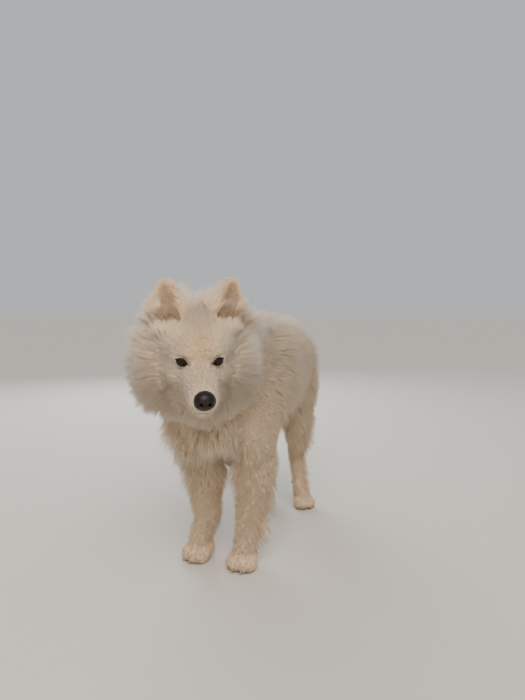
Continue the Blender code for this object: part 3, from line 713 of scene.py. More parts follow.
points = shape_lids(points)
set_places(skin.data, points)
normals = normals_of(skin.data)
head_at = local(HEAD, points)
mouth_gap = mouth_gap_of(head_at)
front = (head_at[:, 1] < 0.004) & (head_at[:, 2] < -0.045)
groove = np.where(front, np.exp(-((mouth_gap / 0.0013) ** 2)), 0)
lips = np.where(front, np.exp(-(((mouth_gap - 0.0040) / 0.0024) ** 2)), 0)
points = points + normals * (0.0011 * lips - 0.0026 * groove)[:, None]
set_places(skin.data, points)
print("lids and lips shaped; skin has", len(skin.data.vertices), "points")

# %% [markdown]
# ## The unwrap of the skin
# The skin is laid flat by Smart UV Project. The map serves twice: it is the skin's own, and each tuft
# keeps a small patch at its root's place, so that skin and coat can be painted alike.

# %% Unwrap the skin
skin.modifiers.new("triangulate", "TRIANGULATE")
applied(skin)
skin.data.uv_layers.new(name="OFBake")
bpy.context.view_layer.objects.active = skin
bpy.ops.object.select_all(action="DESELECT")
skin.select_set(True)
bpy.ops.object.mode_set(mode="EDIT")
bpy.ops.mesh.select_all(action="SELECT")
bpy.ops.uv.smart_project(angle_limit=math.radians(66), island_margin=0.002)
bpy.ops.object.mode_set(mode="OBJECT")
skin.data.shade_smooth()

corners = np.empty(len(skin.data.polygons) * 3, np.int64)
skin.data.loops.foreach_get("vertex_index", corners)
corners = corners.reshape(-1, 3)
flat_map = np.empty(len(skin.data.loops) * 2)
skin.data.uv_layers["OFBake"].data.foreach_get("uv", flat_map)
flat_map = flat_map.reshape(-1, 3, 2)
print("skin unwrapped:", len(corners), "triangles")

# %% [markdown]
# ## How the coat lies
# Hair doesn't grow straight out. On the face it runs from the nose outwards and back, on the trunk
# back and down, on the legs down, and on the tail to its tip. At each point of the skin the script
# works out the lie, a direction along the skin, and how long the hair is and how far it lifts. The
# fields are then smoothed over the skin, so that one region flows into the next.

# %% The lie on trunk, face and legs
points = places_of(skin.data)
normals = unit(normals_of(skin.data))
soft_normals = unit(neighbours_mean(skin.data, normals, 8))
at, head_at, share, ear_at, tail_way = regions(points)
x, y, z = at.T
hx, hy, hz = head_at.T
nx, ny, nz = soft_normals.T


def rows(across, along, up):
    """Directions as rows, each part a number or a number for each point."""
    return np.stack(np.broadcast_arrays(across, along, up, points[:, 0])[:3], axis=1)


def ways(*parts):
    return unit(rows(*parts))


def blended(start, *layers):
    """Layers of (weight, directions), each laid over what is below it."""
    for weight, way in layers:
        start = start * (1 - weight)[:, None] + way * weight[:, None]
    return unit(start)


def bump(value, middle, reach):
    """1 at the middle, and softly down to 0 beyond the reach."""
    return np.exp(-(((value - middle) / reach) ** 2))


flank = 1 - np.abs(nz) * (nz > 0)
breast = smooth(-ny, 0.10, 0.70) * (1 - smooth(y, -0.22, -0.10)) * (1 - smooth(z, 0.50, 0.58))
shoulder = (1 - smooth(y, -0.14, -0.04)) * smooth(np.abs(x), 0.04, 0.09) * (1 - smooth(z, 0.40, 0.52))
belly = smooth(-nz, 0.35, 0.85) * (z < 0.44)
thigh = smooth(np.abs(x), 0.02, 0.06) * smooth(y, 0.08, 0.15) * (1 - smooth(z, 0.43, 0.53))
rump = smooth(ny, 0.30, 0.85) * smooth(y, 0.18, 0.25)
body_lie = blended(
    ways(0, 1, -0.70 * flank),
    (breast, ways(1.6 * x, 0.05, -1)),
    (shoulder, ways(1.2 * x, 0.30, -1)),
    (belly, ways(0, 1, -0.6)),
    (thigh, ways(0, 0.45, -1)),
    (rump, ways(0, 0.25, -1)),
)

WHORL = np.array((0, -0.125, -0.030))
face_lie = unit(world_way(HEAD, head_at - WHORL))
sinking = smooth(hy, 0.0, 0.11) * (1 - smooth(hz, 0.00, 0.05))
face_lie = unit(face_lie + sinking[:, None] * np.array((0, 0, -0.30)))

leg_lie = ways(0, 0.20 + 0.20 * (y > 0) + 0.3 * smooth(ny, 0.1, 0.7), -1)
toes = 1 - smooth(z, 0.035, 0.075)
for foot in (*FRONT_FEET.values(), *HIND_FEET.values()):
    near_foot = toes * (np.hypot(x - foot[0], y - foot[1]) < 0.085)
    turn = math.radians(foot[2])
    leg_lie = blended(leg_lie, (near_foot, ways(math.sin(turn), -math.cos(turn), -0.55)))
print("breast", round(breast.max(), 2), "belly", round(belly.max(), 2), "at their fullest")

# %% [markdown]
# On an ear the hair runs from the root to the tip and a little outwards, and inside the cup it leans
# across the opening. The hair of the forehead grows up into the foot of each cup and closes it.

# %% The lie on the ears, and the whole lie
ear_lie, ear_up = np.zeros_like(points), np.zeros_like(points)
cup, cup_low, ear_base, ear_tip, before_ear = np.zeros((5, len(points)))
for side, (own, inside) in ear_at.items():
    axes = ear_axes(side)
    ear_x, ear_y, ear_z = own.T
    facing = (soft_normals @ np.array(axes)[:3, :3])[:, 1]
    reach = 0.93 * np.interp(ear_z, [row[0] for row in CUP], [row[1] for row in CUP])
    in_cup = inside * (facing < 0.25) * (np.abs(ear_x) < reach) * (ear_z > 0.003) * (ear_z < 0.083)
    low_in_cup = in_cup * (1 - smooth(ear_z, 0.016, 0.068)) * smooth(ear_z, 0.000, 0.016)
    cup, cup_low = np.maximum(cup, in_cup), np.maximum(cup_low, low_in_cup)
    ear_tip = np.maximum(ear_tip, inside * smooth(ear_z, 0.070, 0.090))
    ear_base = np.maximum(ear_base, inside * (1 - in_cup) * (1 - smooth(ear_z, 0.012, 0.058)))
    way = rows(ear_x / 0.060, 0, 1) * (1 - in_cup)[:, None] + rows(0.5 * side, -0.25, 1) * in_cup[:, None]
    ear_lie += inside[:, None] * world_way(axes, unit(way))
    before = bump(ear_z, -0.010, 0.024) * (1 - smooth(np.abs(ear_x), 0.030, 0.052))
    before = before * smooth(-ear_y, 0.000, 0.012) * (1 - smooth(-ear_y, 0.050, 0.070))
    upwards = world_way(axes, ways(ear_x / 0.110, -0.15, 1))
    ear_up = np.where((before > before_ear)[:, None], upwards, ear_up)
    before_ear = np.maximum(before_ear, before)

lie = (
    share["body"][:, None] * body_lie
    + share["head"][:, None] * face_lie
    + share["ear"][:, None] * unit(ear_lie)
    + share["tail"][:, None] * tail_way
    + (share["fore"] + share["hind"])[:, None] * leg_lie
)
lie = lie * (1 - before_ear)[:, None] + ear_up * before_ear[:, None]
lie = neighbours_mean(skin.data, unit(lie), 8)
lie = unit(lie - (lie * soft_normals).sum(1)[:, None] * soft_normals)
print("lie worked out at", len(lie), "points")

# %% [markdown]
# Length and lift follow the photograph. Hair is about 6 mm long beside the nose, a few centimetres on
# the crown and cheeks, and 8 cm in the ruff, on the breast and on the tail. The ruff's outline is
# close to a ball round the head, with a high corner behind each ear, so there the hair is as long as
# it takes to reach that ball. Lifts are in degrees from the skin.

# %% Length and lift on the head
BALL_MIDDLE, BALL_RADIUS = np.array((0, 0.100, -0.036)), 0.158
HIGH_CORNER, CORNER_RISE = unit(np.array((0.64, 0.10, 0.76))), 0.026
RUFF_LIFT, TOES_LIFT = 58, 18
FOREHEAD_LENGTH = BEFORE_EAR_LENGTH = 0.026
FOREHEAD_LIFT, BEFORE_EAR_LIFT = 22, 24


def laid(start, weight, value):
    """The start, with the value laid over it by its weight."""
    return start * (1 - weight) + value * weight


from_ball = head_at - BALL_MIDDLE
mirrored = np.stack([np.abs(from_ball[:, 0]), from_ball[:, 1], from_ball[:, 2]], axis=1)
high_corner = smooth(unit(mirrored) @ HIGH_CORNER, 0.74, 0.97)
ball_gap = BALL_RADIUS + CORNER_RISE * high_corner - np.linalg.norm(from_ball, axis=1)
upper_face = smooth(hz, 0.015, 0.060)
in_ball = smooth(hy, 0.030 * upper_face, 0.050 + 0.035 * upper_face) * (1 - smooth(hy, 0.115, 0.150))
crown = smooth(hz, 0.045, 0.085) * smooth(hy, -0.01, 0.03)
by_ear = crown * bump(np.abs(hx), 0.034, 0.022)
below_ear = bump(hz, 0.044, 0.022) * smooth(np.abs(hx), 0.012, 0.034) * (1 - smooth(hy, 0.055, 0.080))
ball_height = np.clip(ball_gap + 0.020 * crown, 0.014, 0.075)
ball_length = np.clip(ball_height / 0.72, 0.020, 0.098) + 0.024 * crown + 0.018 * by_ear
ALONG_HEAD, LENGTHS = (-0.10, -0.04, 0.00, 0.04, 0.08, 0.12), (0.0065, 0.009, 0.014, 0.026, 0.045, 0.060)
face_length = laid(np.interp(hy, ALONG_HEAD, LENGTHS), in_ball, ball_length)
face_length = face_length + (0.012 * crown + 0.012 * by_ear) * (1 - in_ball)
face_length = laid(face_length, below_ear, FOREHEAD_LENGTH)
face_lift = np.interp(hy, (-0.10, -0.03, 0.00, 0.04), (20, 20, 24, 34))
face_lift = laid(face_lift, in_ball, RUFF_LIFT) + 4 * crown + 10 * by_ear
face_lift = laid(face_lift, below_ear, FOREHEAD_LIFT)
print("the ruff's hair is up to", round(1000 * ball_length.max()), "mm long")

# %% [markdown]
# The brisket's hair hangs between the forelegs. The left shoulder is turned to the camera and its
# outline is tighter than the right one's. Behind the forelegs and the hocks the hair is a fringe,
# fullest above the foot, and on the toes it is 1 cm short.

# %% Length and lift on the trunk
low_shoulder = (1 - smooth(z, 0.35, 0.44)) * (1 - smooth(y, -0.09, 0.00)) * smooth(np.abs(x), 0.04, 0.08)
brisket = smooth(-nz, 0.15, 0.75) * (1 - smooth(y, -0.13, -0.06)) * (1 - smooth(z, 0.38, 0.43))
behind_ruff = smooth(hy, 0.120, 0.150) * (1 - smooth(y, -0.24, -0.05)) * smooth(z, 0.42, 0.48)
top = smooth(nz, 0.2, 0.9)
body_length = np.interp(y, (-0.35, -0.20, 0.00, 0.15, 0.28), (0.086, 0.086, 0.082, 0.072, 0.060))
body_length = body_length * (1 - 0.26 * belly) * (1 - 0.22 * thigh) + 0.008 * top
body_length = laid(body_length, in_ball, ball_length)
body_length = body_length * (1 + low_shoulder * np.where(x > 0, -0.58, 0.12))
body_length = laid(body_length, brisket, 0.090)
body_lift = np.interp(y, (-0.35, -0.15, 0.05, 0.25), (50, 48, 44, 40)) - 6 * breast - 4 * thigh
body_lift = body_lift + 16 * top - 6 * belly + low_shoulder * np.where(x > 0, -12, 8)
body_lift = laid(body_lift - 18 * behind_ruff, brisket, 80)
body_lift = laid(body_lift, in_ball, RUFF_LIFT)
print("the trunk's hair is up to", round(1000 * body_length.max()), "mm long")

# %% Length and lift on legs and ears
high_leg = smooth(z, 0.12, 0.27)
outwards = nx * np.sign(x)
back_of_leg = smooth(ny + 0.45 * outwards, 0.05, 0.75) * smooth(z, 0.045, 0.085)
fringe = np.interp(z, (0.08, 0.13, 0.20, 0.26, 0.32), (0.038, 0.043, 0.023, -0.006, -0.012))
outer_top = smooth(outwards, 0.1, 0.7) * smooth(z, 0.14, 0.24) * (x < 0)
inner_top = smooth(-outwards, 0.2, 0.8) * smooth(z, 0.19, 0.26)
fore_length = 0.026 + 0.016 * high_leg + fringe * back_of_leg + 0.022 * inner_top + 0.014 * outer_top
hind_length = 0.024 + 0.016 * smooth(z, 0.18, 0.30)
hind_length = hind_length + (0.010 + 0.016 * smooth(z, 0.15, 0.24)) * back_of_leg
fore_length, hind_length = (laid(leg_length, toes, 0.010) for leg_length in (fore_length, hind_length))
leg_lift = 32 + 4 * high_leg + (24 - 14 * high_leg) * back_of_leg
leg_lift = laid(leg_lift + (18 * inner_top + 14 * outer_top) * (y < 0), toes, TOES_LIFT)
ear_length = (0.0150 + 0.003 * cup + 0.020 * ear_base) * (1 - 0.55 * ear_tip)
ear_lift = 26 + 14 * cup + 10 * ear_base
print("the forelegs' hair is up to", round(1000 * fore_length.max()), "mm long")

# %% [markdown]
# The regions' values are put together by their shares and smoothed over the skin. Then the hair is
# cut shorter round the eyes, the lips and the nose, and left out on the lids, the lips and the pads.

# %% Length, lift, droop and width at each point
TAIL_LENGTH, TAIL_LIFT = 0.078, 40


def by_region(body, head, ear, tail, fore, hind):
    """One value for each point, from the values of the regions."""
    parts = {"body": body, "head": head, "ear": ear, "tail": tail, "fore": fore, "hind": hind}
    return neighbours_mean(skin.data, sum(share[name] * value for name, value in parts.items()), 6)


length = by_region(body_length, face_length, ear_length, TAIL_LENGTH, fore_length, hind_length)
length = laid(length, before_ear, BEFORE_EAR_LENGTH)
lift = np.radians(by_region(body_lift, face_lift, ear_lift, TAIL_LIFT, leg_lift, leg_lift))
lift = laid(lift, before_ear, math.radians(BEFORE_EAR_LIFT))
droop = by_region(0.30, 0.30 * smooth(hy, 0.0, 0.1), 0.0, 0.25, 0.1, 0.1)
eye_gap = np.full(len(points), 1.0)
for side in SIDES.values():
    own = local(eye_axes(side), points)
    offset = np.where(np.abs(own[:, 1] + 0.006) < 0.03, eye_offset(own[:, 0], own[:, 2]), 1.0)
    eye_gap = np.minimum(eye_gap, offset)
mouth_gap = np.where((hy < 0.004) & (hz < -0.045), mouth_gap_of(head_at), 1.0)
nose_gap = np.linalg.norm((head_at - np.array(NOSE_AT)) / np.array(NOSE_RADII), axis=1) - 1
length = length * (0.35 + 0.65 * smooth(eye_gap, 0.001, 0.022))
length = length * (0.75 + 0.25 * smooth(mouth_gap, 0.001, 0.012)) * (0.6 + 0.4 * smooth(nose_gap, 0.0, 0.9))
width = 0.0008 + 0.0150 * length
bare = (eye_gap < 0.0016) | (mouth_gap < 0.0008) | (nose_gap < 0.02) | (z < 0.004)
print("hair", round(1000 * length.min(), 1), "to", round(1000 * length.max(), 1), "mm long")

# %% [markdown]
# ## Markings and painted shade
# The coat is cream white. A biscuit tint lies down the forehead, between the eyes and on the muzzle,
# and more faintly on the trunk, the legs and the toes. On the muzzle's sides, the trunk, the legs and
# the toes this tint is partly painted shade. The feet of the ears' cups, the brows and the creases
# beside the muzzle are painted browner as painted shade, and the lids, the lips and the pads are
# nearly black. The markings and the painted shade are kept as attributes of the skin, and each tuft
# takes those at its root.

# %% The markings and painted shade
CREASE = ((0.050, 0.010, -0.056), (0.059, 0.026, -0.074), (0.050, 0.036, -0.098), (0.034, 0.050, -0.118))


def from_line(places, line):
    """How far each place is from a line of points."""
    nearest = np.full(len(places), 1.0)
    for start, end in zip(np.array(line), np.array(line[1:])):
        way = end - start
        t = np.clip((places - start) @ way / (way @ way), 0, 1)
        nearest = np.minimum(nearest, np.linalg.norm(places - (start + t[:, None] * way), axis=1))
    return nearest


def spot(middle, reach):
    """A soft round spot in the head's frame."""
    return np.exp(-(((head_at - np.array(middle)) / np.array(reach)) ** 2).sum(1))


biscuit_and_shade = 0.9 * spot((0, 0.002, 0.026), (0.021, 0.034, 0.044))
biscuit_and_shade = biscuit_and_shade + 0.5 * spot((0, -0.030, -0.012), (0.014, 0.030, 0.012))
biscuit_and_shade = np.maximum(biscuit_and_shade, 0.62 * spot((0, 0.025, 0.070), (0.040, 0.040, 0.040)))
for side in SIDES.values():
    biscuit_and_shade = biscuit_and_shade * (1 - 0.85 * spot((side * 0.0175, -0.010, -0.007), (0.0075, 0.020, 0.008)))
# On the muzzle's sides, the trunk, the legs and the toes the biscuit tint is partly painted shade.
for tint_and_shade in (
    0.42 * spot((0, -0.040, -0.022), (0.042, 0.048, 0.026)),
    share["ear"] * (0.30 + 0.25 * cup),
    0.14 * share["body"] * (1 - in_ball),
    (0.18 + 0.20 * toes) * (share["fore"] + share["hind"]),
):
    biscuit_and_shade = np.maximum(biscuit_and_shade, tint_and_shade)
biscuit_and_shade = np.clip(biscuit_and_shade, 0, 1)

to_crease = from_line(np.stack([np.abs(hx), hy, hz], axis=1), CREASE)
length = length * (1 - 0.45 * bump(to_crease, 0, 0.010))
# Brown painted shade in the feet of the ears' cups, over the brows and in the creases beside the muzzle, and
# a thin brown streak below each eye's inner corner.
brown_and_shade = neighbours_mean(skin.data, 0.20 * cup + 0.80 * cup_low, 6)
brown_and_shade = np.maximum(brown_and_shade, 0.70 * bump(to_crease, 0, 0.006))
for side in SIDES.values():
    brown_and_shade = np.maximum(brown_and_shade, 0.50 * spot((side * 0.0225, -0.004, 0.0095), (0.0085, 0.020, 0.0040)))
    brown_and_shade = np.maximum(brown_and_shade, 0.42 * spot((side * 0.0200, -0.012, -0.0110), (0.0035, 0.020, 0.0090)))
dark = np.maximum(1 - smooth(eye_gap, 0.0018, 0.0032), 1 - smooth(mouth_gap, 0.0010, 0.0024))
dark = np.maximum(dark, 1 - smooth(nose_gap, 0.03, 0.12))
dark = np.maximum(dark, 1 - smooth(z, 0.003, 0.007))


def set_number(mesh, name, values):
    """The values as an attribute of the mesh's points."""
    numbers = np.asarray(values, np.float32).ravel()
    mesh.attributes.new(name, "FLOAT", "POINT").data.foreach_set("value", numbers)


for name, values in (("biscuit_and_shade", biscuit_and_shade), ("dark", dark), ("brown_and_shade", brown_and_shade)):
    set_number(skin.data, name, values)
print("markings set: biscuit, dark and brown")

# %% [markdown]
# ## Tufts
# A tuft is a thin, three-sided spine that tapers to a point. Blender's cone gives it, with rings cut
# round it so that it can bend. The template is read once, and numpy then places all its copies at
# once: each ring has a middle on the tuft's curve, and each corner keeps its side of it. Hair on the
# head, the ears and the face is so fine that a straight spine will do, and more of them fit.

# %% The tuft's template
def tuft_template(cuts):
    """A three-sided cone of height 1 with rings at the cuts: heights, corner directions, triangles."""
    bm = bmesh.new()
    bmesh.ops.create_cone(
        bm, cap_ends=True, segments=3, radius1=1, radius2=0, depth=1, matrix=Matrix.Translation((0, 0, 0.5))
    )
    bmesh.ops.remove_doubles(bm, verts=bm.verts, dist=1e-5)
    for cut in cuts:
        everything = bm.verts[:] + bm.edges[:] + bm.faces[:]
        bmesh.ops.bisect_plane(bm, geom=everything, plane_co=(0, 0, cut), plane_no=(0, 0, 1))
    bmesh.ops.triangulate(bm, faces=bm.faces)
    bmesh.ops.recalc_face_normals(bm, faces=bm.faces)
    bm.verts.index_update()
    verts = np.array([vert.co for vert in bm.verts])
    triangles = np.array([[vert.index for vert in face.verts] for face in bm.faces])
    bm.free()
    heights = np.round(verts[:, 2], 4)
    around = verts[:, :2] / np.maximum(1 - heights, 1e-6)[:, None]
    around[heights > 0.999] = 0
    return heights, around, triangles


LONG_TUFT = tuft_template((0.30, 0.65))
SHORT_TUFT = tuft_template((0.50,))
FINE_TUFT = tuft_template(())
print("triangles in a tuft:", [len(template[2]) for template in (LONG_TUFT, SHORT_TUFT, FINE_TUFT)])


# %% Grow tufts on the skin
edge_a = points[corners[:, 1]] - points[corners[:, 0]]
edge_b = points[corners[:, 2]] - points[corners[:, 0]]
triangle_area = np.linalg.norm(np.cross(edge_a, edge_b), axis=1) / 2
PATCH = 0.003
inner_low, inner_high = (np.array(corner) for corner in solid_box)
coat_pieces = []


def nearest_of(places, chosen):
    """For each place, which of the chosen places is nearest."""
    tree = KDTree(len(chosen))
    for i in chosen:
        tree.insert(places[i], i)
    tree.balance()
    return np.array([tree.find(place)[1] for place in places])


def grow(name, weight, count, template, clump_size, pull, thinness, seed):
    """One piece of the coat: count tufts over the skin, as dense as the weight says. Tufts are drawn to
    the leaders of their locks by the pull, and a thinness below 1 makes them finer."""
    rng = np.random.default_rng(seed)
    weight = np.where(bare, 0, weight) / np.maximum(length * width, 1e-6) ** 0.5
    sums = np.cumsum(weight[corners].mean(1) * triangle_area)
    chosen = np.searchsorted(sums, (np.arange(count) + rng.random(count)) / count * sums[-1])
    a, b = rng.random((2, count))
    a, b = np.where(a + b > 1, 1 - a, a), np.where(a + b > 1, 1 - b, b)
    mix = np.stack([1 - a - b, a, b], axis=1)

    def at_root(values):
        return (values[corners[chosen]].reshape(count, 3, -1) * mix[:, :, None]).sum(1)

    root, out, way = at_root(points), unit(at_root(soft_normals)), at_root(lie)
    way = unit(way - (way * out).sum(1)[:, None] * out)
    size = at_root(length)[:, 0] * rng.uniform(0.66, 1.14, count)
    half = at_root(width)[:, 0] * 0.5 * thinness * rng.uniform(0.8, 1.15, count)
    wave = np.sin(root @ np.array((61.0, 47.0, 0.0)) + 1.3) + np.sin(root @ np.array((-33.0, 0.0, 71.0)))
    yaw = np.radians(rng.normal(0, 8, count) + 7 * wave)
    curl = np.radians(rng.normal(0, 12, count))
    sideways = np.cross(out, way)
    waved_lift = at_root(lift)[:, 0] * (1 + 0.10 * np.sin(root @ np.array((0.0, 83.0, 59.0))))
    rise = waved_lift + np.radians(rng.normal(0, 5, count))
    down = at_root(droop)[:, 0]

    heights, around, triangles = template
    levels = np.unique(heights)
    place = root - (0.06 * size)[:, None] * out
    middles, before = [place], 0.0
    for level in levels[1:]:
        angle, turn = rise * (1 - 0.40 * (level + before) / 2), yaw + curl * (level + before - 0.6)
        ahead = np.cos(turn)[:, None] * way + np.sin(turn)[:, None] * sideways
        step = np.cos(angle)[:, None] * ahead + np.sin(angle)[:, None] * out
        step[:, 2] -= down * (level + before) / 2
        place = place + unit(step) * (size * (level - before))[:, None]
        middles.append(place)
        before = level
    middles = np.stack(middles, axis=1)
    leaders = rng.choice(count, max(8, int(count / clump_size)), replace=False)
    leader = nearest_of(root, leaders)
    share_of_pull = (pull * levels**1.5)[None, :, None]
    middles = middles + share_of_pull * (middles[leader] - middles)
    middles = np.clip(middles, inner_low + 0.0008, inner_high - 0.0008)

    along = unit(np.gradient(middles, axis=1))
    across = unit(np.cross(out[:, None, :], along))
    up = np.cross(along, across)
    thick = half[:, None] * np.interp(levels, (0, 0.3, 0.65, 1), (1, 0.95, 0.65, 0))[None, :]
    ring = np.searchsorted(levels, heights)
    corner = middles[:, ring] + thick[:, ring, None] * (
        around[None, :, :1] * across[:, ring] + 0.45 * around[None, :, 1:] * up[:, ring]
    )
    verts_each = len(heights)
    faces = (triangles[None] + verts_each * np.arange(count)[:, None, None]).reshape(-1, 3)

    map_at = (flat_map[chosen] * mix[:, :, None]).sum(1)
    patch = PATCH * np.stack([0.5 * around[:, 0], heights - 0.5], axis=1)
    tuft_map = np.clip(map_at[:, None, :] + patch[None], 0.0005, 0.9995).reshape(-1, 2)
    numbers = {
        "biscuit_and_shade": np.repeat(at_root(biscuit_and_shade)[:, 0], verts_each),
        "brown_and_shade": np.repeat(at_root(brown_and_shade)[:, 0], verts_each),
        "along": np.tile(heights, count),
        "tone": np.repeat(0.35 * rng.random(count) + 0.65 * rng.random(count)[leader], verts_each),
    }
    coat_pieces.append(mesh_of(name, corner.reshape(-1, 3), faces, tuft_map, numbers))
    print(name, "has", count, "tufts and", len(faces), "triangles")


def mesh_of(name, verts, faces, uv, numbers):
    """An object from arrays of points, triangles, map places and numbers at the points."""
    mesh = bpy.data.meshes.new(name)
    mesh.vertices.add(len(verts))
    mesh.vertices.foreach_set("co", verts.astype(np.float32).ravel())
    mesh.loops.add(faces.size)
    mesh.loops.foreach_set("vertex_index", faces.astype(np.int32).ravel())
    mesh.polygons.add(len(faces))
    mesh.polygons.foreach_set("loop_start", np.arange(0, faces.size, 3, dtype=np.int32))
    mesh.update(calc_edges=True)
    mesh.uv_layers.new(name="OFBake").data.foreach_set("uv", uv[faces.ravel()].astype(np.float32).ravel())
    for attribute_name, values in numbers.items():
        set_number(mesh, attribute_name, values)
    mesh.shade_smooth()
    thing = bpy.data.objects.new(name, mesh)
    bpy.context.scene.collection.objects.link(thing)
    return thing


# %% The coat, piece by piece
on_head = share["head"]
face = on_head * (1 - smooth(hy, 0.005, 0.035))
mane = share["body"] * (1 - smooth(y, -0.24, -0.17)) * smooth(z, 0.40, 0.46)
low_front = share["body"] * (1 - smooth(y, -0.15, -0.08)) * (1 - mane)
trunk = share["body"] * smooth(y, -0.15, -0.08)
for seed, (name, weight, *how) in enumerate(
    (
        ("fur_face", face, 44000, FINE_TUFT, 30, 0.40, 0.85),
        ("fur_cheeks_and_crown", on_head - face, 48000, FINE_TUFT, 26, 0.56, 0.82),
        ("fur_ears", share["ear"], 20000, FINE_TUFT, 20, 0.40, 0.80),
        ("fur_ruff", mane, 19900, SHORT_TUFT, 24, 0.56, 0.90),
        ("fur_breast_and_shoulders", low_front, 19900, SHORT_TUFT, 22, 0.46, 0.88),
        ("fur_trunk_left", trunk * (x > 0), 18500, SHORT_TUFT, 20, 0.48, 0.85),
        ("fur_trunk_right", trunk * (x <= 0), 11500, SHORT_TUFT, 14, 0.48, 1.0),
        ("fur_forelegs", share["fore"], 19900, SHORT_TUFT, 18, 0.45, 0.92),
        ("fur_hind_legs", share["hind"], 12500, SHORT_TUFT, 14, 0.45, 1.0),
        ("fur_tail", share["tail"], 5000, LONG_TUFT, 14, 0.45, 1.0),
    ),
    start=1,
):
    grow(name, weight, *how, seed)

# %% [markdown]
# ## Colours, painted shade and finishes of skin and coat
# A samoyed's guard hairs are hollow and nearly white, with a soft silvery sheen, and its undercoat is
# a warmer cream. So the roots of the tufts are warmer than their tips, and they are also painted
# darker, as painted shade deep in the coat.

# %% Paint the coat and the skin
CREAM, ROOT_CREAM_AND_SHADE, CREAM_SHADE = "#F9E5C8", "#E0C49D", "#D9BB92"
# The biscuit colour is partly painted shade on the muzzle's sides, the trunk and the legs, and the brown is
# painted shade in the ear cups, over the brows and in the creases beside the muzzle.
BISCUIT_AND_SHADE, BROWN_AND_SHADE, BLACK_SKIN = "#CFA067", "#7A5643", "#1C1513"
coat_hair, hair = new_material("samoyed_guard_hair", 0.62, Sheen_Weight=0.35, Sheen_Roughness=0.45)
along, biscuit_and_shade_at, brown_and_shade_at, tone = (
    add_node(coat_hair, "ShaderNodeAttribute", {"attribute_name": name}, "Fac")
    for name in ("along", "biscuit_and_shade", "brown_and_shade", "tone")
)
# From root to tip: the darker root is partly the warmer undercoat and partly painted shade deep in the coat.
from_root = add_node(coat_hair, "ShaderNodeMapRange", Value=along, From_Min=0.0, From_Max=0.75)
cream = add_node(
    coat_hair, "ShaderNodeMix", MIX_COLOURS, 2, i0=from_root, i6=linear(ROOT_CREAM_AND_SHADE), i7=linear(CREAM)
)
# The biscuit tint, partly painted shade on the muzzle's sides, the trunk, the legs and the toes.
tinted = add_node(coat_hair, "ShaderNodeMath", {"operation": "MULTIPLY"}, i0=biscuit_and_shade_at, i1=0.80)
warm = add_node(coat_hair, "ShaderNodeMix", MIX_COLOURS, 2, i0=tinted, i6=cream, i7=linear(BISCUIT_AND_SHADE))
# Brown painted shade in the ear cups, over the brows and in the creases beside the muzzle.
browned_and_shaded = add_node(coat_hair, "ShaderNodeMath", {"operation": "MULTIPLY"}, i0=brown_and_shade_at, i1=0.62)
warm = add_node(coat_hair, "ShaderNodeMix", MIX_COLOURS, 2, i0=browned_and_shaded, i6=warm, i7=linear(BROWN_AND_SHADE))
shade = add_node(
    coat_hair, "ShaderNodeMapRange", Value=tone, From_Min=0.15, From_Max=0.85, To_Min=0.0, To_Max=0.38
)
# The noise varies the shade over patches of about 35 mm, as it does on a brushed coat.
object_at = add_node(coat_hair, "ShaderNodeTexCoord", out="Object")
patches = add_node(coat_hair, "ShaderNodeTexNoise", None, "Fac", Vector=object_at, Scale=28.0, Detail=3.0)
patchy = add_node(coat_hair, "ShaderNodeMath", {"operation": "MULTIPLY_ADD"}, i0=patches, i1=0.12, i2=shade)
coloured = add_node(coat_hair, "ShaderNodeMix", MIX_COLOURS, 2, i0=patchy, i6=warm, i7=linear(CREAM_SHADE))
coat_hair.node_tree.links.new(coloured, hair.inputs["Base Color"])

# Skin shows only at the lids, lips and pads. It is matt, and its pores of about 1 mm break the light.
skin_under_coat, hide = new_material("skin_with_undercoat", 0.7)
skin_colour = linear("#E9D5B9")
# The skin takes the same biscuit tint and brown painted shade as the coat, and is black at the lids, lips
# and pads.
for name, colour in (("biscuit_and_shade", "#BE9068"), ("brown_and_shade", "#8A6152"), ("dark", BLACK_SKIN)):
    marked = add_node(skin_under_coat, "ShaderNodeAttribute", {"attribute_name": name}, "Fac")
    skin_colour = add_node(
        skin_under_coat, "ShaderNodeMix", MIX_COLOURS, 2, i0=marked, i6=skin_colour, i7=linear(colour)
    )
skin_under_coat.node_tree.links.new(skin_colour, hide.inputs["Base Color"])
skin_at = add_node(skin_under_coat, "ShaderNodeTexCoord", out="Object")
pores = add_node(skin_under_coat, "ShaderNodeTexNoise", None, "Fac", Vector=skin_at, Scale=900.0, Detail=3.0)
hide_bump = add_node(skin_under_coat, "ShaderNodeBump", Height=pores, Distance=0.0006, Strength=0.5)
skin_under_coat.node_tree.links.new(hide_bump, hide.inputs["Normal"])

skin.data.materials.clear()
skin.data.materials.append(skin_under_coat)
for piece in coat_pieces:
    piece.data.materials.append(coat_hair)
    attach(piece, "root")
print("painted", len(coat_pieces), "pieces of coat")

# %% [markdown]
# ## Eyes
# A dog's eye is a ball with a glossy window. Seen from here it is nearly black: a dark brown iris
# fills most of the opening, and little of the white shows. The ball sits behind the lids, and its
# colours run in rings round the axis of sight.

